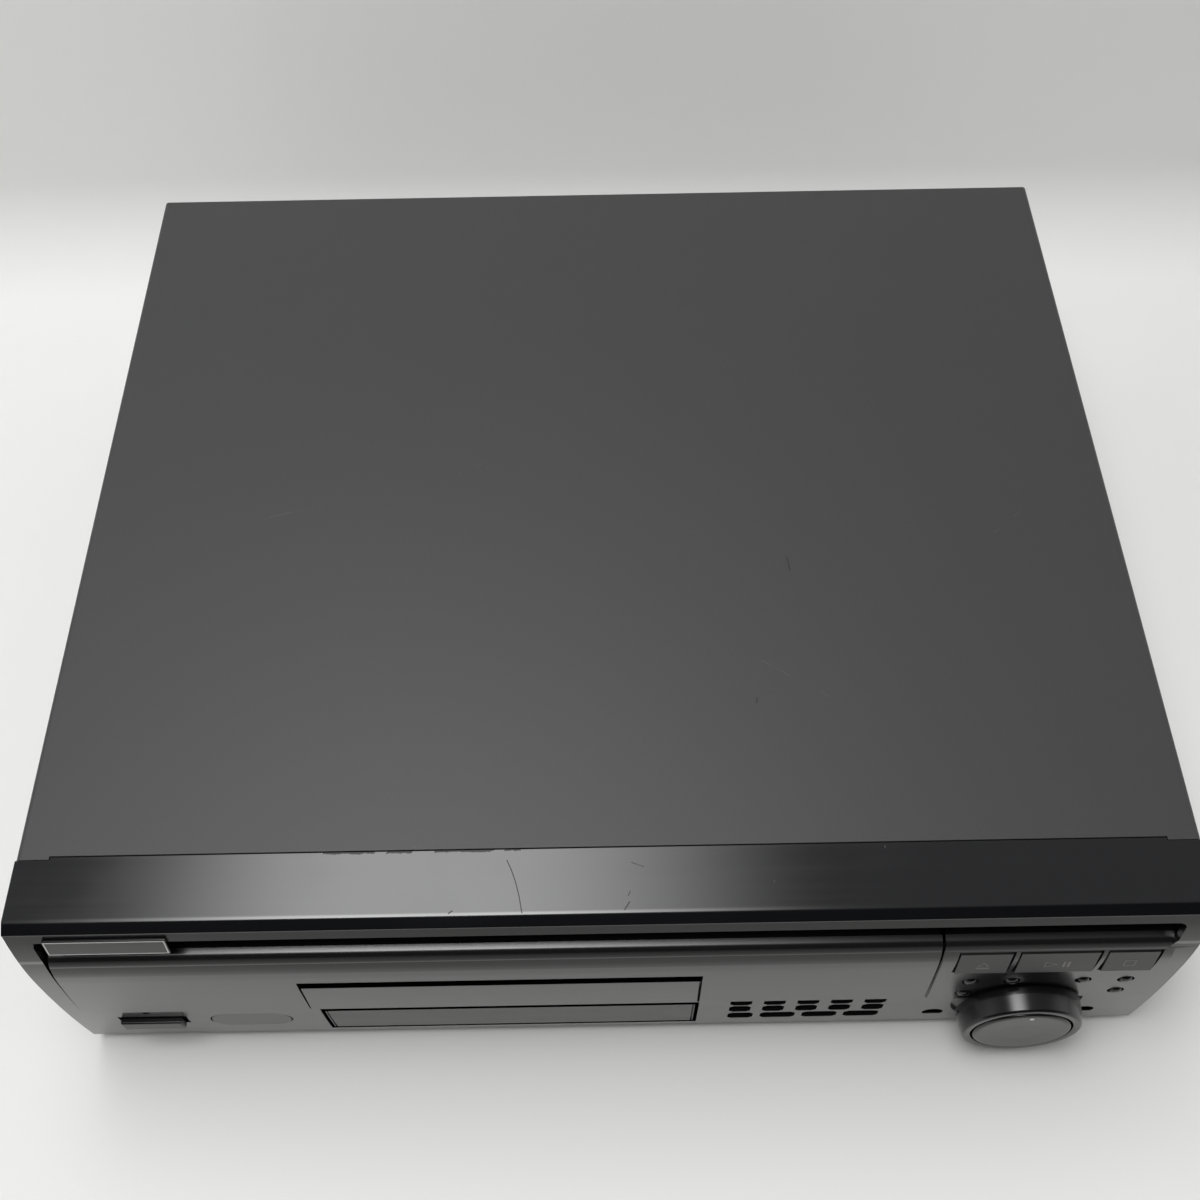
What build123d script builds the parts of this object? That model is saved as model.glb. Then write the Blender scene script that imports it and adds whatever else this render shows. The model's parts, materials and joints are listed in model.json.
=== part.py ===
from build123d import *
import os
from math import asin, atan2, cos, pi, radians, sin, sqrt, tan

os.makedirs("parts", exist_ok=True)

# A laserdisc player for a hi-fi rack, in millimetres.
# X runs to the right seen from the front, -Y towards the viewer, +Z up.
# The origin is on the shelf, under the middle of the player.

# ---- driving dimensions -------------------------------------------------------------
width = 420
height = 118
foot_height = 8
half_width = width / 2
jack_reach = 195                 # rear end of the output jacks
knob_reach = -195                # front of the jog dial

sheet = 1                        # steel sheet
wall = 3                         # moulded walls
gap = 0.5                        # round pieces set into the front

# curved front: two arcs that meet upright at the bulge
bulge_height = 77
bulge_front = -183.8
upper_radius = 212
lower_radius = 721

panel_bottom = foot_height
panel_top = 115
panel_back = -153.8
cover_rear = 192.3
rear_panel_face = cover_rear - sheet

# dark groove over the tray and the control area
groove_low = 94
groove_high = 109.4
groove_reach = 201.5
proud = 0.6                      # tray front and control area stand out by this much
pillow_start = 80                # above this they curve back to a sloping ledge
pillow_end = (-182.5, 94.3)      # y, z
pillow_radius = 54
ledge_front = (-181.8, 95.2)
ledge_back = (-178.6, 96)

# disc tray
tray_low = 42
tray_left = -204
tray_right = 120.5
side_slant = 3.2                 # both raised areas are this much wider at their foot
disc_x = (tray_left + tray_right) / 2
disc_y = -8
disc_radius = 151.5
tray_travel = 285
lift_travel = 8

# knob
knob_x = 158
knob_z = 34.5


def front_face(z):
    """Y of the curved front at height z."""
    radius = upper_radius if z > bulge_height else lower_radius
    return bulge_front + radius - sqrt(radius**2 - (z - bulge_height) ** 2)


def front_curve(low, high, inset=0):
    """Arcs up the curved front from one height to another, moved inwards by inset."""
    stops = [low, bulge_height, high] if low < bulge_height < high else [low, high]
    for start, stop in zip(stops, stops[1:]):
        heights = (start, (start + stop) / 2, stop)
        ThreePointArc(*[(front_face(z) + inset, z) for z in heights])


def front_band(left, right, low, high, outer, inner, mode=Mode.ADD):
    """Curved slab that follows the front between two depths."""
    with BuildSketch(Plane.YZ.offset(left)) as band:
        with BuildLine():
            front_curve(low, high, outer)
            Line((front_face(high) + outer, high), (front_face(high) + inner, high))
            front_curve(low, high, inner)
            Line((front_face(low) + inner, low), (front_face(low) + outer, low))
        make_face()
    extrude(band.sketch, amount=right - left, mode=mode)


def raised_band(low, left, right, mode=Mode.ADD):
    """Wall of a raised area: curved front, pillowed top edge, sloping ledge and slanted ends."""
    start = (front_face(pillow_start) - proud, pillow_start)
    chord = sqrt((pillow_end[0] - start[0])**2 + (pillow_end[1] - start[1])**2)
    swell = chord**2 / (8 * pillow_radius)
    middle = ((start[0] + pillow_end[0]) / 2 - swell, (start[1] + pillow_end[1]) / 2)
    with BuildSketch(Plane.YZ.offset(-half_width)) as profile:
        with BuildLine():
            front_curve(low, pillow_start, -proud)
            ThreePointArc(start, middle, pillow_end)
            ThreePointArc(pillow_end, (-182.35, 94.95), ledge_front)
            Line(ledge_front, ledge_back)
            Line(ledge_back, (ledge_back[0], groove_low - 3))
            Line((ledge_back[0], groove_low - 3), (-181, groove_low - 5))
            Line((-181, groove_low - 5), (-181, low))
            Line((-181, low), (front_face(low) - proud, low))
        make_face()
    with BuildSketch(Plane.XZ.offset(170)) as outline:
        with BuildLine():
            Polyline((left[0], low), (right[0], low), (right[1], ledge_back[1]), (left[1], ledge_back[1]),
                     close=True)
        make_face()
    wall_solid = extrude(profile.sketch, amount=width, mode=Mode.PRIVATE)
    outline_solid = extrude(outline.sketch, amount=30, mode=Mode.PRIVATE)
    add(wall_solid & outline_solid, mode=mode)


def block(low, high, mode=Mode.ADD):
    """Box between two opposite corners, each given as (x, y, z)."""
    with Locations(Vector(*[(a + b) / 2 for a, b in zip(low, high)])):
        Box(*[b - a for a, b in zip(low, high)], mode=mode)


def dome(radius, rise, start):
    """Arc of a shallow cap, from its rim to its top on the local Y axis."""
    sphere = (radius**2 + rise**2) / (2 * rise)
    half = asin(radius / sphere) / 2
    top = start + rise
    ThreePointArc((radius, start), (sphere * sin(half), top - sphere * (1 - cos(half))), (0, top))


def post(x, y, low, high, radius, mode=Mode.ADD):
    """Upright cylinder between two heights."""
    with Locations((x, y, (low + high) / 2)):
        Cylinder(radius, high - low, mode=mode)


def rod_y(x, z, front, back, radius, mode=Mode.ADD):
    """Cylinder that runs front to back."""
    with Locations(Location((x, (front + back) / 2, z), (90, 0, 0))):
        Cylinder(radius, back - front, mode=mode)


def rod_x(y, z, left, right, radius, mode=Mode.ADD):
    """Cylinder that runs left to right."""
    with Locations(Location(((left + right) / 2, y, z), (0, 90, 0))):
        Cylinder(radius, right - left, mode=mode)


# ---- casing -------------------------------------------------------------------------
cover_low = 9.5
cover_back_of_trim = -153.6
cover_gap = 1.3                  # the middle of the front edge stands back from the ears
cover_ear = 12
bend_radius = 2
rear_lip = 12

side_screw_places = [(-118, 22), (150, 22)]          # y, z on each side
rear_screw_places = [(-190, 111), (0, 111), (190, 111)]      # x, z

with BuildPart() as top_cover:
    with BuildSketch(Plane.XZ.offset(-cover_rear)) as bonnet_section:
        with Locations((0, (height + cover_low) / 2)):
            Rectangle(width, height - cover_low)
        fillet(bonnet_section.vertices().group_by(Axis.Y)[-1], bend_radius)
        with Locations((0, (height + cover_low - 2 * sheet) / 2)):
            Rectangle(width - 2 * sheet, height - cover_low, mode=Mode.SUBTRACT)
    extrude(amount=cover_rear - cover_back_of_trim)
    block((cover_ear - half_width, cover_back_of_trim, height - 2 * sheet),
          (half_width - cover_ear, cover_back_of_trim + cover_gap, height + sheet), Mode.SUBTRACT)
    block((1 - half_width, cover_rear - sheet, height - rear_lip),
          (half_width - 1, cover_rear, height - sheet))
    for y, z in side_screw_places:
        rod_x(y, z, -half_width - 1, half_width + 1, 1.9, Mode.SUBTRACT)
    for x, z in rear_screw_places:
        rod_y(x, z, cover_rear - 2, cover_rear + 1, 1.9, Mode.SUBTRACT)
top_cover.part.label = "top_cover"
export_step(top_cover.part, "parts/top_cover.step")

with BuildPart() as cover_screws:
    for y, z in side_screw_places:
        for side in (-1, 1):
            with BuildSketch(Plane((side * (half_width - 4), y, z), x_dir=(0, 1, 0), z_dir=(side, 0, 0))):
                Circle(1.45)
            extrude(amount=4)
            with BuildSketch(Plane((side * half_width, y, z), x_dir=(0, 1, 0), z_dir=(side, 0, 0))):
                Circle(3.6)
            extrude(amount=2, taper=25)
    for x, z in rear_screw_places:
        with BuildSketch(Plane((x, cover_rear - 4, z), x_dir=(1, 0, 0), z_dir=(0, 1, 0))):
            Circle(1.45)
        extrude(amount=4)
        with BuildSketch(Plane((x, cover_rear, z), x_dir=(1, 0, 0), z_dir=(0, 1, 0))):
            Circle(3.6)
        extrude(amount=2, taper=25)
cover_screws.part.label = "cover_screws"
export_step(cover_screws.part, "parts/cover_screws.step")

pan_reach = half_width - sheet - 0.3
pan_front = -153.4
pan_floor = foot_height + sheet
pan_flange = 22
foot_places = [(-166, -122), (166, -122), (-166, 152), (166, 152)]
foot_radius = 19

with BuildPart() as base_pan:
    block((-pan_reach, pan_front, foot_height), (pan_reach, rear_panel_face - sheet - 0.1, pan_floor))
    for side in (-1, 1):
        near, far = sorted((side * (pan_reach - sheet), side * pan_reach))
        block((near, pan_front, foot_height), (far, rear_panel_face - sheet - 0.1, foot_height + pan_flange))
    block((-pan_reach, pan_front, foot_height), (pan_reach, pan_front + sheet, foot_height + 10))
    with BuildSketch(Plane.XY.offset(foot_height - 1)):
        with GridLocations(9, 44, 9, 3):
            Rectangle(3.6, 36)
    extrude(amount=sheet + 2, mode=Mode.SUBTRACT)
    for x, y in foot_places:
        post(x, y, foot_height - 1, pan_floor + 1, 2, Mode.SUBTRACT)
    for y, z in side_screw_places:
        rod_x(y, z, -half_width, half_width, 1.5, Mode.SUBTRACT)
base_pan.part.label = "base_pan"
export_step(base_pan.part, "parts/base_pan.step")

with BuildPart() as feet:
    for x, y in foot_places:
        with BuildSketch(Plane((x, y, 0), x_dir=(1, 0, 0), z_dir=(0, -1, 0))):
            with BuildLine():
                Polyline((0, 0.8), (foot_radius - 6, 0.8), (foot_radius - 5, 0), (foot_radius - 2.5, 0))
                Line((foot_radius - 2.5, 0), (foot_radius - 1, 1.2))
                Line((foot_radius - 1, 1.2), (foot_radius, foot_height))
                Line((foot_radius, foot_height), (0, foot_height))
                Line((0, foot_height), (0, 0.8))
            make_face()
        revolve(axis=Axis((x, y, 0), (0, 0, 1)))
feet.part.label = "feet"
export_step(feet.part, "parts/feet.step")

# ---- output side --------------------------------------------------------------------
panel_low_edge = pan_floor + 0.2
jack_pitch = 16
jack_rows = [66, 48]
jack_columns = [-178 + jack_pitch * i for i in range(4)]
jack_places = [(x, z) for z in jack_rows for x in jack_columns]
pocket_left, pocket_right = -187, -121
pocket_low, pocket_high = 39.6, 74.4
pocket_floor = 186.3             # the jacks stand in a pocket this far back
inlet_x = 172
inlet_z = 40

with BuildPart() as rear_panel:
    block((-pan_reach, rear_panel_face - sheet, panel_low_edge),
          (pan_reach, rear_panel_face, height - sheet - 0.2))
    block((pocket_left, rear_panel_face - 3, pocket_low), (pocket_right, rear_panel_face + 1, pocket_high),
          Mode.SUBTRACT)
    with BuildSketch(Plane.XZ.offset(-rear_panel_face - 1)):
        with Locations((inlet_x, inlet_z)):
            Rectangle(27, 18)
        with Locations((60, 66)):
            with GridLocations(7, 26, 12, 2):
                Rectangle(3, 22)
    extrude(amount=3, mode=Mode.SUBTRACT)
    for x, z in rear_screw_places:
        rod_y(x, z, rear_panel_face - 3, rear_panel_face + 1, 1.5, Mode.SUBTRACT)
rear_panel.part.label = "rear_panel"
export_step(rear_panel.part, "parts/rear_panel.step")

jack_board_z = 38
with BuildPart() as jack_board:
    block((-196, 150, jack_board_z - 1.6), (-112, 189, jack_board_z))
    for x in (-190, -118):
        block((x - 3, 152, pan_floor), (x + 3, 158, jack_board_z - 1.6))
        block((x - 3, 180, pan_floor), (x + 3, 186, jack_board_z - 1.6))
jack_board.part.label = "jack_board"
export_step(jack_board.part, "parts/jack_board.step")

jack_radius = 4.15
with BuildPart() as output_jacks:
    for x in jack_columns:
        block((x - 6, 176, jack_board_z), (x + 6, pocket_floor - 1, 74))
    block((pocket_left - 1.5, pocket_floor - 1.5, jack_board_z + 0.1),
          (pocket_right + 1.5, rear_panel_face - sheet - 0.1, pocket_high + 1.5))
    block((pocket_left, pocket_floor, pocket_low), (pocket_right, rear_panel_face, pocket_high),
          Mode.SUBTRACT)
    for x, z in jack_places:
        rod_y(x, z, pocket_floor - 1, pocket_floor + 1, jack_radius + 1.4)
        rod_y(x, z, pocket_floor, jack_reach, jack_radius)
        rod_y(x, z, 184, jack_reach + 1, 1.7, Mode.SUBTRACT)
output_jacks.part.label = "output_jacks"
export_step(output_jacks.part, "parts/output_jacks.step")

with BuildPart() as ac_inlet:
    block((inlet_x - 13, 170, inlet_z - 8.5), (inlet_x + 13, rear_panel_face, inlet_z + 8.5))
    block((inlet_x - 16, rear_panel_face, inlet_z - 11), (inlet_x + 16, rear_panel_face + 2, inlet_z + 11))
    with BuildSketch(Plane.XZ.offset(-rear_panel_face - 3)):
        with Locations((inlet_x, inlet_z)):
            SlotOverall(17, 9)
    extrude(amount=16, mode=Mode.SUBTRACT)
    for side in (-1, 1):
        rod_y(inlet_x + 4.3 * side, inlet_z, 176, rear_panel_face - 2, 1.2)
ac_inlet.part.label = "ac_inlet"
export_step(ac_inlet.part, "parts/ac_inlet.step")

# ---- front --------------------------------------------------------------------------
trim_round = 3.4
trim_back = -152.7               # the trim's rear edge between the cover's ears
lip_reach = -147                 # lip of the front that carries the cover's edge
lip_top = 116.6
shelf_back = -162
control_left = (121.6, 119.6)      # x at its foot and at its top
control_right = (205, 201.8)
window_left, window_right = -112, 33.7
window_low, window_high = 12.2, 40.6
end_line = 1.7                   # groove near each end of the window
key_low, key_high = 73.5, 89
key_gap = 0.7
keys = {"open_key": (126, 145), "play_key": (148, 176.5), "stop_key": (179.5, 198)}
small_radius = 2.6
small_buttons = {
    "chapter_back_button": (134.4, 62.3),
    "chapter_next_button": (149.9, 62.3),
    "scan_back_button": (176.5, 62),
    "scan_next_button": (192.5, 62),
    "display_button": (134.3, 49),
    "repeat_button": (192.4, 49),
}
side_buttons = {"side_button_left": 128, "side_button_right": 188}
side_button_z = 20.3
side_button_radius = 3.8
power_left, power_right = -191.4, -167.4
power_low, power_high = 26, 33
power_proud = 3
led_x, led_z = -180.2, 39
oval_x, oval_z = -141.4, 28.1
oval_length, oval_height = 31.2, 13.4
badge_left, badge_right = -197, -154
badge_low, badge_high = 103.3, 112.3
vent_rows = [39, 30, 20.2]
vent_height = 8
vent_left, vent_right = 46.4, 106.8


def side_button_outline(grow):
    """Circle with a flat foot, grown outwards by grow."""
    Circle(side_button_radius + grow)
    with Locations((0, -side_button_radius - 2.2 - grow)):
        Rectangle(20, 2 * side_button_radius, mode=Mode.SUBTRACT)


with BuildPart() as front_panel:
    with BuildSketch(Plane.YZ):
        with BuildLine():
            front_curve(panel_bottom, panel_top)
            Line((front_face(panel_top), panel_top), (panel_back, panel_top))
            Line((panel_back, panel_top), (panel_back, panel_bottom))
            Line((panel_back, panel_bottom), (front_face(panel_bottom), panel_bottom))
        make_face()
    extrude(amount=half_width, both=True)
    with BuildSketch(Plane.YZ):
        with BuildLine():
            front_curve(panel_bottom + wall, panel_top - wall, wall)
            Line((front_face(panel_top - wall) + wall, panel_top - wall), (panel_back + 1, panel_top - wall))
            Line((panel_back + 1, panel_top - wall), (panel_back + 1, panel_bottom + wall))
            Line((panel_back + 1, panel_bottom + wall),
                 (front_face(panel_bottom + wall) + wall, panel_bottom + wall))
        make_face()
    extrude(amount=half_width - wall, both=True, mode=Mode.SUBTRACT)
    # lip under the cover's front edge
    block((3 - half_width, panel_back - 4, 113), (half_width - 3, lip_reach, lip_top))
    for side in (-1, 1):
        near, far = sorted((side * (half_width - 3.2), side * (half_width - 1.4)))
        block((near, panel_back - 4, 32), (far, lip_reach, 113))
    # walls round the tray opening and behind the groove
    block((-half_width + 2, -178, groove_high), (half_width - 2, shelf_back, groove_high + 2.2))
    block((tray_left - 2, -178, tray_low - 2.2), (tray_right + 2, shelf_back, tray_low))
    block((tray_left - 3, -178, tray_low - 2.2), (tray_left + 3.4, shelf_back, groove_high))
    block((tray_right, -181, tray_low - 2.2), (tray_right + 2.2, shelf_back, groove_low))
    block((tray_right, -178, groove_low - 2.5), (half_width - 2, shelf_back, groove_low))
    block((tray_right, shelf_back - 2, groove_low - 2.5), (half_width - 2, shelf_back, groove_high + 2.2))
    block((groove_reach, -178, groove_low - 2.5), (half_width - 2, shelf_back, groove_high + 2.2))
    # groove, raised control area and tray opening
    with BuildSketch(Plane.XZ.offset(-shelf_back + 2)):
        with Locations((0, (groove_low + groove_high) / 2)):
            RectangleRounded(2 * groove_reach, groove_high - groove_low, 3.5)
    extrude(amount=30, mode=Mode.SUBTRACT)
    raised_band(tray_low, control_left, control_right)
    with BuildSketch(Plane.XZ.offset(150)):
        with BuildLine():
            Polyline((tray_left, tray_low), (tray_right + 0.6, tray_low), (tray_right - 1.4, groove_high),
                     (tray_left + side_slant, groove_high), close=True)
        make_face()
    extrude(amount=40, mode=Mode.SUBTRACT)
    # display window; its seat is open at the top, as far as the tray front
    front_band(window_left - gap, window_right + gap, window_low - gap, tray_low + 0.1, -1, wall,
               Mode.SUBTRACT)
    # keys and buttons
    for left, right in keys.values():
        block((left - key_gap, -190, key_low - key_gap), (right + key_gap, -170, key_high + 1.1),
              Mode.SUBTRACT)
    for x, z in small_buttons.values():
        rod_y(x, z, -190, -170, small_radius + 0.6, Mode.SUBTRACT)
    for x in side_buttons.values():
        with BuildSketch(Plane.XZ.offset(170)):
            with Locations((x, side_button_z)):
                side_button_outline(0.35)
        extrude(amount=20, mode=Mode.SUBTRACT)
    block((power_left - 1.3, -190, power_low - 1.2),
          (power_right + 1.3, front_face(power_low) + 1.3, power_high + 1.2), Mode.SUBTRACT)
    block((power_left - gap, -190, power_low - gap), (power_right + gap, -170, power_high + gap),
          Mode.SUBTRACT)
    rod_y(led_x, led_z, -190, -178, 1.3, Mode.SUBTRACT)
    # oval seat
    with BuildSketch(Plane.XZ.offset(-front_face(oval_z) - 1.5)):
        with Locations((oval_x, oval_z)):
            SlotOverall(oval_length + 1.1, oval_height + 1.1)
    extrude(amount=10, mode=Mode.SUBTRACT)
    # flat pocket and hole behind the knob
    with BuildSketch(Plane.XZ.offset(-front_face(30) - 2)):
        with Locations((knob_x, knob_z)):
            Circle(25.2)
        with Locations((knob_x, tray_low + 15)):
            Rectangle(60, 30, mode=Mode.SUBTRACT)
    extrude(amount=10, mode=Mode.SUBTRACT)
    rod_y(knob_x, knob_z, -190, -170, 5.6, Mode.SUBTRACT)
    # vents
    slot_width = 8.4
    slot_pitch = (vent_right - vent_left - slot_width) / 4
    vent_slots = [(vent_left + slot_width / 2 + slot_pitch * i, z, slot_width)
                  for z in vent_rows[:2] for i in range(5)]
    vent_slots += [(vent_left + 5, vent_rows[2], 10)]
    vent_slots += [(vent_left + 19.8 + 16.6 * i, vent_rows[2], 13.8) for i in range(3)]
    with BuildSketch(Plane.XZ.offset(170)) as vent_sketch:
        for x, z, length in vent_slots:
            with Locations((x, z)):
                Rectangle(length, vent_height)
        chamfer(vent_sketch.vertices(), 1.6)
    extrude(amount=20, mode=Mode.SUBTRACT)
front_panel.part.label = "front_panel"
export_step(front_panel.part, "parts/front_panel.step")

trim_front = front_face(panel_top) - 0.4
with BuildPart() as top_trim:
    with BuildSketch(Plane.YZ):
        with BuildLine():
            Line((panel_back, panel_top), (panel_back, height))
            Line((panel_back, height), (trim_front + trim_round, height))
            arc_low = height - trim_round + 0.6
            RadiusArc((trim_front + trim_round, height), (trim_front, arc_low), -trim_round)
            Line((trim_front, arc_low), (trim_front, panel_top))
            Line((trim_front, panel_top), (panel_back, panel_top))
        make_face()
    extrude(amount=half_width, both=True)
    block((3 - half_width, panel_back - 4, panel_top - 1), (half_width - 3, panel_back + 1, lip_top + 0.1),
          Mode.SUBTRACT)
    tongue_half = half_width - cover_ear - 0.3
    block((-tongue_half, panel_back - 1, lip_top + 0.1), (tongue_half, trim_back, height))
top_trim.part.label = "top_trim"
export_step(top_trim.part, "parts/top_trim.step")

with BuildPart() as display_window:
    front_band(window_left, window_right, window_low, window_high, 0, 2.4)
    for x in (window_left + end_line, window_right - end_line):
        front_band(x - 0.25, x + 0.25, window_low - 1, window_high + 1, -1, 0.6, Mode.SUBTRACT)
display_window.part.label = "display_window"
export_step(display_window.part, "parts/display_window.step")

with BuildPart() as badge_plate:
    front_band(badge_left, badge_right, badge_low, badge_high, -1.2, -0.02)
badge_plate.part.label = "badge_plate"
export_step(badge_plate.part, "parts/badge_plate.step")

with BuildPart() as blanking_plate:
    with BuildSketch(Plane.XZ.offset(-front_face(oval_z) - 1.4)):
        with Locations((oval_x, oval_z)):
            SlotOverall(oval_length, oval_height)
    extrude(amount=1.5)
blanking_plate.part.label = "blanking_plate"
export_step(blanking_plate.part, "parts/blanking_plate.step")

with BuildPart() as standby_led:
    rod_y(led_x, led_z, front_face(led_z) + 0.4, -178, 1.15)
standby_led.part.label = "standby_led"
export_step(standby_led.part, "parts/standby_led.step")

# ---- front board --------------------------------------------------------------------
board_front = -166
board = 1.6
switch_face = board_front - 4.4

with BuildPart() as front_board:
    block((-198, board_front, 13), (204.5, board_front + board, 37))
    block((124.5, board_front, 37), (204.5, board_front + board, 90.5))
front_board.part.label = "front_board"
export_step(front_board.part, "parts/front_board.step")

switch_places = [((left + right) / 2, (key_low + key_high) / 2) for left, right in keys.values()]
switch_places += list(small_buttons.values())
switch_places += [(x, side_button_z) for x in side_buttons.values()]
switch_places += [((power_left + power_right) / 2, (power_low + power_high) / 2)]

with BuildPart() as key_switches:
    for x, z in switch_places:
        block((x - 3, board_front - 3, z - 3), (x + 3, board_front, z + 3))
        rod_y(x, z, switch_face, board_front - 3, 1.6)
key_switches.part.label = "key_switches"
export_step(key_switches.part, "parts/key_switches.step")

with BuildPart() as display_module:
    block((-98, board_front - 7, 15), (20, board_front - 1, 36))
    for x in range(-92, 16, 9):
        block((x, board_front - 1, 16), (x + 1, board_front, 17))
display_module.part.label = "display_module"
export_step(display_module.part, "parts/display_module.step")

with BuildPart() as knob_encoder:
    block((knob_x - 9, board_front - 7, knob_z - 9), (knob_x + 9, board_front, knob_z + 9))
    rod_y(knob_x, knob_z, board_front - 8, board_front - 1, 3.4, Mode.SUBTRACT)
knob_encoder.part.label = "knob_encoder"
export_step(knob_encoder.part, "parts/knob_encoder.step")

# ---- keys, buttons and knob ---------------------------------------------------------
key_travel = 1
power_travel = 1.5
key_foot = (-185, key_low)       # y, z: each key leans back from its foot
key_top = (-183.7, key_high - 0.6)
stem_back = switch_face - key_travel - 0.4

for name, (left, right) in keys.items():
    middle = (left + right) / 2
    with BuildPart() as key:
        with BuildSketch(Plane.YZ.offset(left)):
            with BuildLine():
                Polyline(key_foot, (key_foot[0] - 0.3, key_low + 0.5), key_top, (key_top[0] + 1, key_high),
                         (-181.2, key_high), (-181.2, key_low), key_foot)
            make_face()
        extrude(amount=right - left)
        block((middle - 2, -182, 79), (middle + 2, stem_back, 83))
    key.part.label = name
    export_step(key.part, "parts/" + name + ".step")

for name, (x, z) in small_buttons.items():
    face = front_face(z)
    with BuildPart() as button:
        with BuildSketch(Plane((x, 0, z), x_dir=(1, 0, 0), z_dir=(0, 0, 1))):
            with BuildLine():
                Line((0, stem_back), (1.6, stem_back))
                Line((1.6, stem_back), (1.6, face + 2))
                Line((1.6, face + 2), (small_radius, face + 2))
                Line((small_radius, face + 2), (small_radius, face - 0.4))
                Line((small_radius, face - 0.4), (small_radius - 1, face - 1.3))
                Line((small_radius - 1, face - 1.3), (0, face - 1.6))
                Line((0, face - 1.6), (0, stem_back))
            make_face()
        revolve(axis=Axis((x, 0, z), (0, 1, 0)))
    button.part.label = name
    export_step(button.part, "parts/" + name + ".step")

for name, x in side_buttons.items():
    with BuildPart() as button:
        with BuildSketch(Plane.XZ.offset(-stem_back)):
            with Locations((x, side_button_z)):
                side_button_outline(0)
        extrude(amount=stem_back - front_face(side_button_z) - 0.6)
    button.part.label = name
    export_step(button.part, "parts/" + name + ".step")

with BuildPart() as power_button:
    block((power_left, front_face(power_low) - power_proud, power_low), (power_right, -176.5, power_high))
    fillet(power_button.edges().group_by(Axis.Y)[0], 0.8)
    block((power_left + 9, -178, power_low + 1.5),
          (power_right - 9, switch_face - power_travel - 0.4, power_high - 1.5))
power_button.part.label = "power_button"
export_step(power_button.part, "parts/power_button.step")

knob_back = -184.7
with BuildPart() as shuttle_ring:
    with BuildSketch(Plane((knob_x, 0, knob_z), x_dir=(1, 0, 0), z_dir=(0, 0, 1))):
        with BuildLine():
            Line((3.4, knob_back + 10), (5.2, knob_back + 10))
            Line((5.2, knob_back + 10), (5.2, knob_back))
            Line((5.2, knob_back), (24.5, knob_back))
            Line((24.5, knob_back), (24.5, -187.2))
            Line((24.5, -187.2), (22.3, -193.4))
            Line((22.3, -193.4), (21, -194.5))
            Line((21, -194.5), (19.8, -194))
            Line((19.8, -194), (19.8, -188.4))
            Line((19.8, -188.4), (3.4, -188.4))
            Line((3.4, -188.4), (3.4, knob_back + 10))
        make_face()
    revolve(axis=Axis((knob_x, 0, knob_z), (0, 1, 0)))
shuttle_ring.part.label = "shuttle_ring"
export_step(shuttle_ring.part, "parts/shuttle_ring.step")

with BuildPart() as jog_dial:
    with BuildSketch(Plane((knob_x, 0, knob_z), x_dir=(1, 0, 0), z_dir=(0, 0, 1))):
        with BuildLine():
            Line((0, knob_reach), (18.4, knob_reach))
            Line((18.4, knob_reach), (19.4, knob_reach + 1))
            Line((19.4, knob_reach + 1), (19.4, -189))
            Line((19.4, -189), (3, -189))
            Line((3, -189), (3, board_front - 4))
            Line((3, board_front - 4), (0, board_front - 4))
            Line((0, board_front - 4), (0, knob_reach))
        make_face()
    revolve(axis=Axis((knob_x, 0, knob_z), (0, 1, 0)))
jog_dial.part.label = "jog_dial"
export_step(jog_dial.part, "parts/jog_dial.step")

# ---- disc tray ----------------------------------------------------------------------
deck_top = 91.5
deck = 2
well_floor = 87.5
single_floor = 86.2              # well for the small video disc
cd_floor = 84.6
single_radius = 101
cd_radius = 61
slot_half = 34                   # the slot clears the turntable, clamp and pickup
tray_back = 146
skirt_low = 66
skirt_left, skirt_right = -199.2, 116.8
guide_rib_low, guide_rib_high = 72, 76
rack_module = 1.5
pinion_teeth = 14
pinion_radius = rack_module * pinion_teeth / 2
pinion_x, pinion_y = 95, -146
rack_low = 72
pinion_top = 84.8
tooth_ease = 0.12                # each flank stands back by this much


def gear_outline(module, teeth, ease):
    """Involute gear outline, with its flanks eased back so that it runs free."""
    pitch_radius = module * teeth / 2
    base_radius = pitch_radius * cos(radians(20))
    tip_radius = pitch_radius + 0.9 * module
    root_radius = pitch_radius - 1.2 * module
    involute = tan(radians(20)) - radians(20)
    half_tooth = pi / (2 * teeth) - ease / pitch_radius + involute
    points = []
    for tooth in range(teeth):
        middle = 2 * pi * tooth / teeth
        flank = []
        for step in range(4):
            radius = base_radius + (tip_radius - base_radius) * step / 3
            spread = sqrt((radius / base_radius) ** 2 - 1)
            flank.append((radius, half_tooth - (spread - atan2(spread, 1))))
        flank = [(root_radius, half_tooth)] + flank
        points += [(r * cos(middle - a), r * sin(middle - a)) for r, a in flank]
        points += [(r * cos(middle + a), r * sin(middle + a)) for r, a in reversed(flank)]
    Polyline(*points, close=True)


def rack_outline(module, start, count, back, ease):
    """Straight rack along the local X axis with its teeth towards +Y and its pitch line at Y = 0."""
    pitch = pi * module
    tip = 0.9 * module
    root = -1.2 * module
    slope = tan(radians(20))
    points = [(start - pitch / 2, back), (start - pitch / 2, root)]
    for tooth in range(count):
        middle = start + pitch * tooth
        half = pitch / 4 - ease
        points += [(middle - half + root * slope, root), (middle - half + tip * slope, tip)]
        points += [(middle + half - tip * slope, tip), (middle + half - root * slope, root)]
    points += [(start + pitch * (count - 0.5), root), (start + pitch * (count - 0.5), back)]
    Polyline(*points, close=True)


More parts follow.
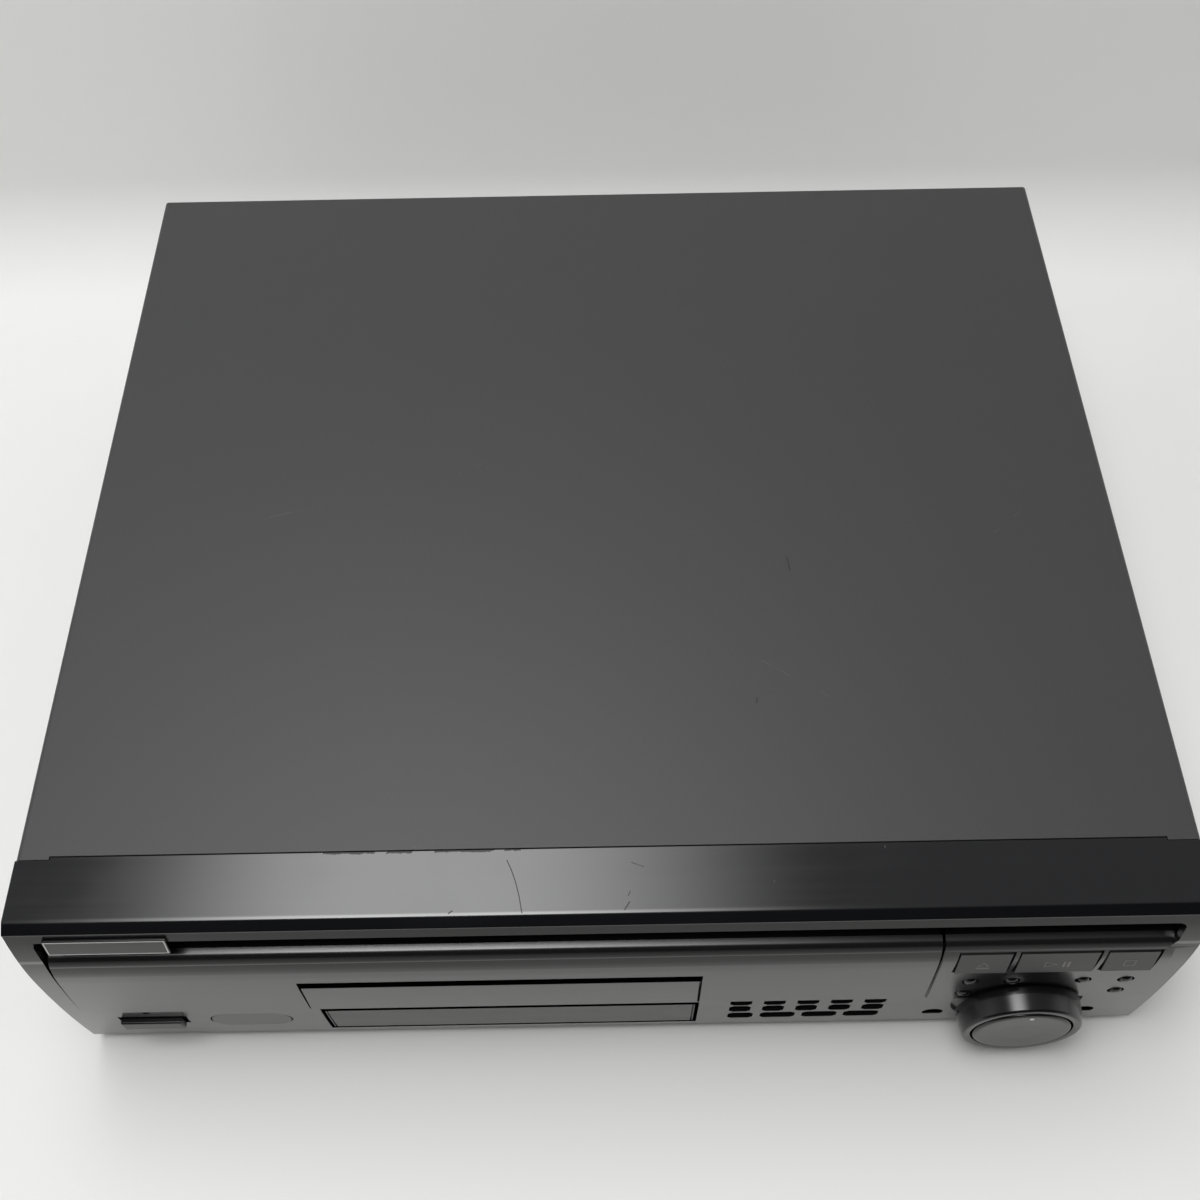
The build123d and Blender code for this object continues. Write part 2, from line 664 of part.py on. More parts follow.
with BuildPart() as disc_tray:
    # deck, stepped wells and skirts
    block((skirt_left, -168, deck_top - deck), (skirt_right, tray_back, deck_top))
    post(disc_x, disc_y, well_floor - deck, deck_top, disc_radius + 2)
    post(disc_x, disc_y, single_floor - deck, well_floor, single_radius + 2)
    post(disc_x, disc_y, cd_floor - deck, single_floor, cd_radius + 2)
    block((skirt_left - 9, -178, skirt_low), (skirt_left, 180, deck_top + 1), Mode.SUBTRACT)
    block((skirt_right, -178, skirt_low), (skirt_right + 9, 180, deck_top + 1), Mode.SUBTRACT)
    post(disc_x, disc_y, well_floor, deck_top + 1, disc_radius, Mode.SUBTRACT)
    post(disc_x, disc_y, single_floor, deck_top, single_radius, Mode.SUBTRACT)
    post(disc_x, disc_y, cd_floor, deck_top, cd_radius, Mode.SUBTRACT)
    for side in (skirt_left, skirt_right - 2.5):
        block((side, -168, skirt_low), (side + 2.5, tray_back, deck_top))
    block((skirt_left - 2.6, -168, guide_rib_low), (skirt_left, tray_back, guide_rib_high))
    block((skirt_right, -168, guide_rib_low), (skirt_right + 2.6, tray_back, guide_rib_high))
    block((skirt_left, -170.5, 50), (skirt_right, -168, deck_top))
    # rack under the right side
    rack_pitch = pi * rack_module
    with BuildSketch(Plane((pinion_x + pinion_radius, 0, rack_low), x_dir=(0, 1, 0), z_dir=(0, 0, 1))):
        with BuildLine():
            rack_outline(rack_module, pinion_y - rack_pitch / 2, 62, -5, tooth_ease)
        make_face()
    extrude(amount=well_floor - deck + 0.5 - rack_low)
    # slot from the middle to the back
    post(disc_x, disc_y, 60, deck_top + 1, slot_half, Mode.SUBTRACT)
    block((disc_x - slot_half, disc_y, 60), (disc_x + slot_half, tray_back + 1, deck_top + 1), Mode.SUBTRACT)
disc_tray.part.label = "disc_tray"
export_step(disc_tray.part, "parts/disc_tray.step")

front_left = (tray_left + 0.6, tray_left + 0.6 + side_slant)     # x at its foot and at its top
front_right = (tray_right, tray_right - 2)
front_low = tray_low + 0.5
recess_left, recess_right = -115.6, 34
recess_low, recess_high = 43.6, 73.5
recess_depth = 2.6
recess_line = 66                 # dark line along the top of the recess, down to this height

with BuildPart() as tray_front:
    raised_band(front_low, front_left, front_right)
    block((front_left[1], -181.5, groove_low - 2.5), (front_right[1], -164, groove_low))
    block((front_left[1], -181.5, front_low), (front_right[1], -172, front_low + 2))
    for left in (front_left[1], front_right[1] - 2.2):
        block((left, -181.5, front_low), (left + 2.2, -172, groove_low))
    for x in (-150, -42, 66):
        block((x - 1.2, -182, 48), (x + 1.2, -170.5, 88))
    # flat recess, deep at its top edge and flush at its foot
    with BuildSketch(Plane.YZ.offset(recess_left - 2)) as recess_back:
        with BuildLine():
            top_y = front_face(recess_high) + recess_depth
            Polyline((-181.5, recess_low), (top_y, recess_high + 2), (top_y + 2.4, recess_high + 2),
                     (-178.6, recess_low), close=True)
        make_face()
    extrude(amount=recess_right - recess_left + 4)
    with BuildSketch(Plane.YZ.offset(recess_left)) as recess_cut:
        with BuildLine():
            Polyline((-190, recess_low), (front_face(recess_low) - proud, recess_low),
                     (front_face(recess_high) + recess_depth, recess_high), (-190, recess_high), close=True)
        make_face()
    extrude(amount=recess_right - recess_left, mode=Mode.SUBTRACT)
    block((recess_left, -190, recess_line), (recess_right, -179.8, recess_high), Mode.SUBTRACT)
    for left, right in ((recess_left, recess_left + 0.4), (recess_right - 0.9, recess_right)):
        block((left, -190, recess_low), (right, -180.4, recess_high), Mode.SUBTRACT)
tray_front.part.label = "tray_front"
export_step(tray_front.part, "parts/tray_front.step")

# ---- tray guides and lift -----------------------------------------------------------
rail_low, rail_high = 62, 82
rail_front, rail_back = -146, 150
pin_places = [-80, 100]
pin_height = 50
rail_width = 6
left_rail = skirt_left - 0.4 - rail_width
right_rail = skirt_right + 0.4

with BuildPart() as tray_guides:
    for left in (left_rail, right_rail):
        block((left, rail_front, rail_low), (left + rail_width, rail_back, rail_high))
    for left in (skirt_left - 3, skirt_right):
        block((left, rail_front - 1, guide_rib_low - 0.4), (left + 3, rail_back + 1, guide_rib_high + 0.4),
              Mode.SUBTRACT)
    block((left_rail, -112, rail_low - 6), (right_rail + rail_width, -105, rail_low))
    block((left_rail, 140, 38), (right_rail + rail_width, 148, 42))
    for left in (left_rail, right_rail + rail_width - 4):
        block((left, 140, 38), (left + 4, 148, rail_low))
        for y in pin_places:
            block((left, y - 6, pin_height - 6), (left + 4, y + 6, rail_low))
    for y in pin_places:
        rod_x(y, pin_height, left_rail + 3, left_rail + 10, 2)
        rod_x(y, pin_height, right_rail - 4, right_rail + 3, 2)
tray_guides.part.label = "tray_guides"
export_step(tray_guides.part, "parts/tray_guides.step")

cam_front, cam_back = -103, 108
cam_low, cam_high = 38, 62
cam_sheet = 1.5
cam_left = left_rail + 5.8
cam_right = right_rail - 1.4 - cam_sheet
strap_low = 12
cam_run = 2 * lift_travel

with BuildPart() as lift_cam:
    for left in (cam_left, cam_right):
        block((left, cam_front, cam_low), (left + cam_sheet, cam_back, cam_high))
        block((left, 60, strap_low), (left + cam_sheet, 80, cam_low))
    block((cam_left, 60, strap_low), (cam_right + cam_sheet, 80, strap_low + cam_sheet))
    with BuildSketch(Plane.YZ.offset(cam_left - 1)):
        for y in pin_places:
            with BuildLine():
                Line((y, pin_height), (y - cam_run, pin_height + lift_travel))
            trace(line_width=4.7)
            with Locations((y, pin_height), (y - cam_run, pin_height + lift_travel)):
                Circle(2.35)
    extrude(amount=cam_right - cam_left + 4, mode=Mode.SUBTRACT)
lift_cam.part.label = "lift_cam"
export_step(lift_cam.part, "parts/lift_cam.step")

# ---- mechanism chassis --------------------------------------------------------------
chassis_low, chassis_floor = 20, 22.5
chassis_left, chassis_right = -190, 108
chassis_front, chassis_back = -160, 148
platform_top = 55
pulley_x = 71
motor_x = 40
tilt_y, tilt_z = 0, 62
clamp_y, clamp_z = 162, 104.5
clamp_reach = 49                 # the clamp arm's pivots stand this far from the disc's axis

with BuildPart() as mechanism_chassis:
    block((chassis_left, chassis_front, chassis_low), (chassis_right, chassis_back, chassis_floor))
    block((chassis_left + 8, chassis_front + 8, chassis_low),
          (chassis_right - 8, chassis_back - 8, chassis_floor), Mode.SUBTRACT)
    block((chassis_left, disc_y - 24, chassis_low), (chassis_right, disc_y + 24, chassis_floor))
    block((disc_x - 56, chassis_front, chassis_low), (disc_x + 56, chassis_back, chassis_floor))
    block((disc_x - 36, disc_y + 30, chassis_low), (disc_x + 36, chassis_back - 20, chassis_floor),
          Mode.SUBTRACT)
    block((disc_x - 36, chassis_front + 20, chassis_low), (disc_x + 36, disc_y - 30, chassis_floor),
          Mode.SUBTRACT)
    for left in (chassis_left, chassis_right - 2.5):
        block((left, chassis_front, chassis_low), (left + 2.5, chassis_back, 36))
    for y in (chassis_front, chassis_back - 2.5):
        block((chassis_left, y, chassis_low), (chassis_right, y + 2.5, 36))
    for x in (chassis_left + 6, chassis_right - 6):
        for y in (-140, 110):
            post(x, y, pan_floor, chassis_low, 5)
    # spindle tower
    post(disc_x, disc_y, chassis_floor, 50, 20)
    post(disc_x, disc_y, chassis_floor, 48, 17.5, Mode.SUBTRACT)
    # ears for the tilt pivot
    for side in (-1, 1):
        near, far = sorted((disc_x + side * 40.8, disc_x + side * 46.8))
        block((near, tilt_y - 6, chassis_floor), (far, tilt_y + 6, tilt_z + 5))
    rod_x(tilt_y, tilt_z, disc_x - 50, disc_x + 50, 2.05, Mode.SUBTRACT)
    # towers for the clamp arm
    for side in (-1, 1):
        near, far = sorted((disc_x + side * 44, disc_x + side * 50))
        block((near, clamp_y - 8, chassis_low), (far, clamp_y + 8, clamp_z + 5))
    block((disc_x - 50, chassis_back - 2.5, chassis_low), (disc_x + 50, clamp_y + 8, chassis_floor))
    rod_x(clamp_y, clamp_z, disc_x - 60, disc_x + 60, 2.05, Mode.SUBTRACT)
    # platform for the loading drive
    block((24, chassis_front, platform_top - 3), (115, -126, platform_top))
    block((24, chassis_front, chassis_floor), (26.5, -126, platform_top))
    block((105.5, chassis_front, chassis_floor), (108, -126, platform_top))
    block((24, -128.5, chassis_floor), (108, -126, platform_top))
    post(motor_x, pinion_y, platform_top - 4, platform_top + 1, 3, Mode.SUBTRACT)
    post(pinion_x, pinion_y, platform_top, 80, 2)
    post(pulley_x, pinion_y, platform_top, 68, 1.5)
mechanism_chassis.part.label = "mechanism_chassis"
export_step(mechanism_chassis.part, "parts/mechanism_chassis.step")

# ---- loading drive ------------------------------------------------------------------
wheel_module = 1
wheel_teeth = 36
small_teeth = 12
wheel_low, wheel_high = 62, 66
groove_z = 58.5
pulley_radius = 14
motor_pulley_radius = 4
belt_size = 1.6

with BuildPart() as drive_gear:
    with BuildSketch(Plane((pinion_x, pinion_y, wheel_low), x_dir=(1, 0, 0), z_dir=(0, 0, 1))):
        with BuildLine():
            gear_outline(wheel_module, wheel_teeth, tooth_ease)
        make_face()
    extrude(amount=wheel_high - wheel_low)
    post(pinion_x, pinion_y, platform_top + 0.3, wheel_low, 5)
    with BuildSketch(Plane((pinion_x, pinion_y, wheel_high), x_dir=(1, 0, 0), z_dir=(0, 0, 1))):
        with BuildLine():
            gear_outline(rack_module, pinion_teeth, tooth_ease)
        make_face()
    extrude(amount=pinion_top - wheel_high)
    post(pinion_x, pinion_y, platform_top, 80.3, 2.06, Mode.SUBTRACT)
drive_gear.part.label = "drive_gear"
export_step(drive_gear.part, "parts/drive_gear.step")


def grooved_pulley(x, radius):
    """Pulley with a square groove for the belt."""
    post(x, pinion_y, groove_z - 2.4, groove_z + 2.4, radius)
    with Locations((x, pinion_y, groove_z)):
        Cylinder(radius + 1, belt_size + 0.4, mode=Mode.SUBTRACT)
        Cylinder(radius - belt_size, belt_size + 0.4)


with BuildPart() as pulley_gear:
    grooved_pulley(pulley_x, pulley_radius)
    turn = pi / small_teeth
    with BuildSketch(Plane((pulley_x, pinion_y, groove_z + 2.4), x_dir=(cos(turn), sin(turn), 0),
                           z_dir=(0, 0, 1))):
        with BuildLine():
            gear_outline(wheel_module, small_teeth, tooth_ease)
        make_face()
    extrude(amount=wheel_high + 0.5 - groove_z - 2.4)
    post(pulley_x, pinion_y, platform_top, 68, 1.56, Mode.SUBTRACT)
pulley_gear.part.label = "pulley_gear"
export_step(pulley_gear.part, "parts/pulley_gear.step")

with BuildPart() as motor_pulley:
    grooved_pulley(motor_x, motor_pulley_radius)
    post(motor_x, pinion_y, 46, groove_z, 1)
motor_pulley.part.label = "motor_pulley"
export_step(motor_pulley.part, "parts/motor_pulley.step")

with BuildPart() as loading_motor:
    post(motor_x, pinion_y, 28, platform_top - 3, 11)
    post(motor_x, pinion_y, 26, 28, 4)
    post(motor_x, pinion_y, 45.5, platform_top, 1.06, Mode.SUBTRACT)
loading_motor.part.label = "loading_motor"
export_step(loading_motor.part, "parts/loading_motor.step")


def belt_outline(grow):
    """Loop round both pulleys, grown outwards by grow."""
    big = pulley_radius - belt_size + grow
    small = motor_pulley_radius - belt_size + grow
    lean = (big - small) / (pulley_x - motor_x)
    rise = sqrt(1 - lean**2)
    top_big = (pulley_x - big * lean, pinion_y + big * rise)
    top_small = (motor_x - small * lean, pinion_y + small * rise)
    low_big = (top_big[0], 2 * pinion_y - top_big[1])
    low_small = (top_small[0], 2 * pinion_y - top_small[1])
    ThreePointArc(top_big, (pulley_x + big, pinion_y), low_big)
    Line(low_big, low_small)
    ThreePointArc(low_small, (motor_x - small, pinion_y), top_small)
    Line(top_small, top_big)


with BuildPart() as loading_belt:
    with BuildSketch(Plane.XY.offset(groove_z - belt_size / 2)):
        with BuildLine():
            belt_outline(0.1 + belt_size)
        make_face()
        with BuildLine():
            belt_outline(0.1)
        make_face(mode=Mode.SUBTRACT)
    extrude(amount=belt_size)
loading_belt.part.label = "loading_belt"
export_step(loading_belt.part, "parts/loading_belt.step")

# ---- spindle and clamp --------------------------------------------------------------
seat_top = 90.6
with BuildPart() as spindle_motor:
    post(disc_x, disc_y, 50, 52, 19)
    post(disc_x, disc_y, 52, 77.5, 17)
    post(disc_x, disc_y, 62, 80, 1.56, Mode.SUBTRACT)
spindle_motor.part.label = "spindle_motor"
export_step(spindle_motor.part, "parts/spindle_motor.step")

with BuildPart() as turntable:
    with BuildSketch(Plane((disc_x, disc_y, 0), x_dir=(1, 0, 0), z_dir=(0, -1, 0))):
        with BuildLine():
            Polyline((0, 62.5), (1.5, 62.5), (1.5, 78.5), (9, 78.5), (9, 83), (21.5, 86), (21.5, seat_top))
            Polyline((21.5, seat_top), (17.3, seat_top), (17.3, 91.8), (16.5, 92.6), (7.4, 92.6), (7.4, 94))
            Polyline((7.4, 94), (6.2, 95), (0, 95), (0, 62.5))
        make_face()
    revolve(axis=Axis((disc_x, disc_y, 0), (0, 0, 1)))
turntable.part.label = "turntable"
export_step(turntable.part, "parts/turntable.step")

with BuildPart() as turntable_mat:
    post(disc_x, disc_y, seat_top, seat_top + 0.5, 21.3)
    post(disc_x, disc_y, seat_top, seat_top + 0.5, 17.6, Mode.SUBTRACT)
turntable_mat.part.label = "turntable_mat"
export_step(turntable_mat.part, "parts/turntable_mat.step")

with BuildPart() as clamp_arm:
    block((disc_x - 36, -46, 101), (disc_x + 36, clamp_y + 2, 103))
    for side in (-1, 1):
        near, far = sorted((disc_x + side * 34, disc_x + side * 36))
        block((near, -46, 101), (far, clamp_y + 2, 107))
    rod_x(clamp_y, clamp_z, disc_x - clamp_reach, disc_x + clamp_reach, 2)
    post(disc_x, disc_y, 100, 104, 9.2, Mode.SUBTRACT)
clamp_arm.part.label = "clamp_arm"
export_step(clamp_arm.part, "parts/clamp_arm.step")

with BuildPart() as clamper:
    with BuildSketch(Plane((disc_x, disc_y, 0), x_dir=(1, 0, 0), z_dir=(0, -1, 0))):
        with BuildLine():
            Polyline((0, 97.2), (19, 97.2), (19, 94.8), (30, 94.8), (30, 96.5), (28, 98.5), (8.7, 98.5))
            Polyline((8.7, 98.5), (8.7, 103.6), (14, 103.6), (14, 105.2), (0, 105.2), (0, 97.2))
        make_face()
    revolve(axis=Axis((disc_x, disc_y, 0), (0, 0, 1)))
clamper.part.label = "clamper"
export_step(clamper.part, "parts/clamper.step")

# ---- pickup -------------------------------------------------------------------------
rod_spread = 28
rod_z = 66
arm_in, arm_out = 34, 40
lens_y = 37
feed_y, feed_z = 39, 49
feed_module = 0.8
feed_teeth = 20
feed_radius = feed_module * feed_teeth / 2
feed_left, feed_right = disc_x - 32.5, disc_x - 27.5

with BuildPart() as tilt_frame:
    for side in (-1, 1):
        near, far = sorted((disc_x + side * arm_in, disc_x + side * arm_out))
        block((near, -6, 56), (far, 170, 72))
        near, far = sorted((disc_x + side * 23, disc_x + side * arm_in))
        block((near, -6, 62), (far, -2, 70))
    block((disc_x - arm_out, 165, 56), (disc_x + arm_out, 170, 72))
    rod_x(tilt_y, tilt_z, disc_x - 46, disc_x - 39, 2)
    rod_x(tilt_y, tilt_z, disc_x + 39, disc_x + 46, 2)
    block((disc_x - arm_out, feed_y - 11, 38), (disc_x - arm_out + 3, feed_y + 11, 60))
    rod_x(feed_y, feed_z, disc_x - 45, disc_x - 36.5, 3, Mode.SUBTRACT)
    for side in (-1, 1):
        rod_y(disc_x + side * rod_spread, rod_z, -7, 171, 2.5, Mode.SUBTRACT)
tilt_frame.part.label = "tilt_frame"
export_step(tilt_frame.part, "parts/tilt_frame.step")

with BuildPart() as guide_rods:
    for side in (-1, 1):
        rod_y(disc_x + side * rod_spread, rod_z, -6, 170, 2.5)
guide_rods.part.label = "guide_rods"
export_step(guide_rods.part, "parts/guide_rods.step")

with BuildPart() as feed_motor:
    rod_x(feed_y, feed_z, disc_x - 62, disc_x - arm_out, 9)
    rod_x(feed_y, feed_z, disc_x - 64, disc_x - 62, 3)
    rod_x(feed_y, feed_z, disc_x - 50, disc_x - 30, 1.06, Mode.SUBTRACT)
feed_motor.part.label = "feed_motor"
export_step(feed_motor.part, "parts/feed_motor.step")

with BuildPart() as feed_gear:
    with BuildSketch(Plane((feed_left, feed_y, feed_z), x_dir=(0, 0, 1), z_dir=(1, 0, 0))):
        with BuildLine():
            gear_outline(feed_module, feed_teeth, tooth_ease)
        make_face()
    extrude(amount=feed_right - feed_left)
    rod_x(feed_y, feed_z, disc_x - 49.5, feed_right, 1)
feed_gear.part.label = "feed_gear"
export_step(feed_gear.part, "parts/feed_gear.step")

with BuildPart() as pickup_carriage:
    block((disc_x - 33.2, lens_y - 12, 61), (disc_x + 33.2, lens_y + 26, 72))
    block((disc_x - 20, lens_y - 8, 72), (disc_x + 20, lens_y + 24, 74))
    post(disc_x, disc_y + 20, 55, 80, 18, Mode.SUBTRACT)
    feed_pitch = pi * feed_module
    with BuildSketch(Plane((feed_right, 0, feed_z + feed_radius), x_dir=(0, 1, 0), z_dir=(-1, 0, 0))):
        with BuildLine():
            rack_outline(feed_module, feed_y - feed_pitch * 39.5, 50, -4, tooth_ease)
        make_face()
    extrude(amount=feed_right - feed_left)
    for side in (-1, 1):
        rod_y(disc_x + side * rod_spread, rod_z, lens_y - 13, lens_y + 27, 2.55, Mode.SUBTRACT)
pickup_carriage.part.label = "pickup_carriage"
export_step(pickup_carriage.part, "parts/pickup_carriage.step")

with BuildPart() as lens_unit:
    block((disc_x - 11, lens_y - 4, 74), (disc_x + 11, lens_y + 14, 78))
    post(disc_x, lens_y, 78, 82.6, 3.4)
    post(disc_x, lens_y, 81.6, 83, 2.5, Mode.SUBTRACT)
lens_unit.part.label = "lens_unit"
export_step(lens_unit.part, "parts/lens_unit.step")

with BuildPart() as objective_lens:
    with BuildSketch(Plane((disc_x, lens_y, 0), x_dir=(1, 0, 0), z_dir=(0, -1, 0))):
        with BuildLine():
            Line((0, 81.6), (2.5, 81.6))
            Line((2.5, 81.6), (2.5, 82.4))
            dome(2.5, 0.9, 82.4)
            Line((0, 83.3), (0, 81.6))
        make_face()
    revolve(axis=Axis((disc_x, lens_y, 0), (0, 0, 1)))
objective_lens.part.label = "objective_lens"
export_step(objective_lens.part, "parts/objective_lens.step")

# ---- electronics --------------------------------------------------------------------
board_low = 16
with BuildPart() as main_board:
    block((128, -146, board_low), (205, 20, board_low + board))
    for x in (133, 200):
        for y in (-138, 12):
            post(x, y, pan_floor, board_low, 3)
    for x, y, half in ((150, -105, 11), (182, -100, 8), (150, -66, 8), (184, -58, 10), (155, -25, 12)):
        block((x - half, y - half, board_low + board), (x + half, y + half, board_low + board + 2.6))
main_board.part.label = "main_board"
export_step(main_board.part, "parts/main_board.step")

with BuildPart() as power_board:
    block((128, 28, board_low), (205, 98, board_low + board))
    for x in (133, 200):
        for y in (34, 92):
            post(x, y, pan_floor, board_low, 3)
power_board.part.label = "power_board"
export_step(power_board.part, "parts/power_board.step")

with BuildPart() as capacitors:
    for x, y, radius, top in ((152, 80, 9, 51), (176, 82, 9, 51), (150, 56, 6.5, 41), (168, 54, 5, 35),
                              (184, 58, 5, 35)):
        post(x, y, board_low + board, top, radius)
capacitors.part.label = "capacitors"
export_step(capacitors.part, "parts/capacitors.step")

with BuildPart() as heat_sink:
    block((194, 32, board_low + board), (197, 92, board_low + 42))
    for i in range(7):
        block((197, 33 + 9 * i, board_low + board), (204, 35 + 9 * i, board_low + 42))
heat_sink.part.label = "heat_sink"
export_step(heat_sink.part, "parts/heat_sink.step")

with BuildPart() as power_transformer:
    block((138, 118, pan_floor + 3), (202, 150, 66))
    block((132, 118, pan_floor), (206, 150, pan_floor + 3))
    block((150, 107, 24), (190, 161, 56))
    fillet(power_transformer.edges().filter_by(Axis.X).group_by(Axis.Y)[0], 6)
    fillet(power_transformer.edges().filter_by(Axis.X).group_by(Axis.Y)[-1], 6)
power_transformer.part.label = "power_transformer"
export_step(power_transformer.part, "parts/power_transformer.step")

with BuildPart() as ribbon_cable:
    with BuildSketch(Plane.YZ.offset(140)):
        with BuildLine():
            FilletPolyline((-136, board_low + board), (-136, 34), (-150, 38), (-150, 30),
                           (board_front + board, 30), radius=3)
        trace(line_width=0.8)
    extrude(amount=26)
ribbon_cable.part.label = "ribbon_cable"
export_step(ribbon_cable.part, "parts/ribbon_cable.step")
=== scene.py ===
"""Looks of a disc player for a hi-fi rack, laid out as a Blender add-on and run as a script."""

import json
import math

import bmesh
import bpy
from bpy.props import FloatProperty, FloatVectorProperty, PointerProperty
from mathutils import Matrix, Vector

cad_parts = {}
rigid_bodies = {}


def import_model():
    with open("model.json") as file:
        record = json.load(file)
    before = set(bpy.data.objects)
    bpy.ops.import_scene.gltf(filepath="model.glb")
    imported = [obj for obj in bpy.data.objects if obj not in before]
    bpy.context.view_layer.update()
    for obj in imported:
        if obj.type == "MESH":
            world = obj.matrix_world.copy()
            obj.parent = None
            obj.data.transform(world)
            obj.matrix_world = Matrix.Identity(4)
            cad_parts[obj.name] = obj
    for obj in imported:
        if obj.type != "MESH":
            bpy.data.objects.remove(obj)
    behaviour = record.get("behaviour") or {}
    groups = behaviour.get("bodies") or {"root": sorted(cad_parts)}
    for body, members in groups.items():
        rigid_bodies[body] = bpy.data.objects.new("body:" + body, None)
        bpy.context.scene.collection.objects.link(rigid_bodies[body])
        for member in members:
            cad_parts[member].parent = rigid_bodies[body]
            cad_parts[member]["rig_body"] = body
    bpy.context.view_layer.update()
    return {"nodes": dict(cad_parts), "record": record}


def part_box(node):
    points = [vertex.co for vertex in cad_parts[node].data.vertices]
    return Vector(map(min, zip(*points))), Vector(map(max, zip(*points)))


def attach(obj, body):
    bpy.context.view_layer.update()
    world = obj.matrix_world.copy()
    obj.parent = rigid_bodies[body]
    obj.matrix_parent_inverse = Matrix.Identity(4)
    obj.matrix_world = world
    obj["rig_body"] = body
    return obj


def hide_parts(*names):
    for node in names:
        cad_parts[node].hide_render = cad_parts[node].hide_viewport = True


bl_info = {
    "name": "Disc player",
    "version": (1, 0, 0),
    "blender": (4, 5, 0),
    "location": "3D View > Sidebar > Disc player",
    "description": "Finished pieces, materials and a plain studio for a disc player",
    "category": "Object",
}

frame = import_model()
MM = 0.001

# curved front of the moulding, as the CAD has it: two arcs that meet upright at the bulge
BULGE_HEIGHT = 77 * MM
BULGE_FRONT = -183.8 * MM
UPPER_RADIUS = 212 * MM
LOWER_RADIUS = 721 * MM

# rounding of every finished copy, and where smooth shading stops
ROUND_STEPS = 2
ROUND_ANGLE = math.radians(38)
SHARP_ANGLE = math.radians(35)

# thickness of print, rims and joints laid on a face
PRINT_THICKNESS = 0.06 * MM

# middle of the two-part knob
KNOB_X, KNOB_Z = 158 * MM, 34.5 * MM

# the camera stands where the photograph was taken from
CAMERA_PLACE = (-0.00116, -0.36903, 0.59164)
CAMERA_TURN = (34.2253, 0.6020, -0.8498)


def front_face(z):
    """Y of the curved front at height z."""
    radius = UPPER_RADIUS if z > BULGE_HEIGHT else LOWER_RADIUS
    return BULGE_FRONT + radius - math.sqrt(radius**2 - (z - BULGE_HEIGHT) ** 2)


def front_normal(z):
    """Outward normal of the curved front at height z."""
    radius = UPPER_RADIUS if z > BULGE_HEIGHT else LOWER_RADIUS
    rise = (z - BULGE_HEIGHT) / radius
    return Vector((0, -math.sqrt(1 - rise**2), rise))


# ---- shader maths ---------------------------------------------------------------------


class Value:
    """A socket in a shader tree that takes part in arithmetic."""

    def __init__(self, shading, socket):
        self.shading = shading
        self.socket = socket

    def maths(self, operation, *others):
        """Adds a Math node for this value and up to two others."""
        values = dict(enumerate((self, *others)))
        return self.shading.node("ShaderNodeMath", {"operation": operation}, values)

    def __add__(self, other):
        return self.maths("ADD", other)

    def __sub__(self, other):
        return self.maths("SUBTRACT", other)

    def __rsub__(self, other):
        return self.shading.node("ShaderNodeMath", {"operation": "SUBTRACT"}, {0: other, 1: self})

    def __mul__(self, other):
        return self.maths("MULTIPLY", other)

    def __gt__(self, other):
        return self.maths("GREATER_THAN", other)

    def __lt__(self, other):
        return self.maths("LESS_THAN", other)

    def __abs__(self):
        return self.maths("ABSOLUTE")

    def step(self, low, high):
        """Smooth step from 0 at low to 1 at high."""
        settings = {"interpolation_type": "SMOOTHSTEP"}
        ends = {"Value": self, "From Min": low, "From Max": high}
        return self.shading.node("ShaderNodeMapRange", settings, ends)

    __radd__ = __add__
    __rmul__ = __mul__


class Shading:
    """A node tree, and what adds nodes to it."""

    def __init__(self, tree, kind, output):
        self.tree = tree
        self.place = self.node(kind, output=output)

    def node(self, kind, settings=None, values=None, output=0):
        """Adds a node: its settings come first, then the values or links of its sockets."""
        node = self.tree.nodes.new(kind)
        for key, value in (settings or {}).items():
            if key == "stops":
                self.set_stops(node.color_ramp, value)
            else:
                setattr(node, key, value)
        for key, value in (values or {}).items():
            if isinstance(value, Value):
                self.tree.links.new(value.socket, node.inputs[key])
            else:
                node.inputs[key].default_value = value
        return Value(self, node.outputs[output])

    @staticmethod
    def set_stops(ramp, stops):
        """Places a colour ramp's stops, given as (position, colour)."""
        while len(ramp.elements) < len(stops):
            ramp.elements.new(0.5)
        for element, (position, colour) in zip(ramp.elements, stops):
            element.position = position
            element.color = colour

    def axes(self):
        """The three coordinates as values."""
        split = self.node("ShaderNodeSeparateXYZ", None, {0: self.place}).socket.node
        return [Value(self, split.outputs[i]) for i in range(3)]

    def mix(self, factor, low, high):
        """Colour between low at factor 0 and high at 1."""
        values = {0: factor, 6: low, 7: high}
        return self.node("ShaderNodeMix", {"data_type": "RGBA"}, values, output=2)


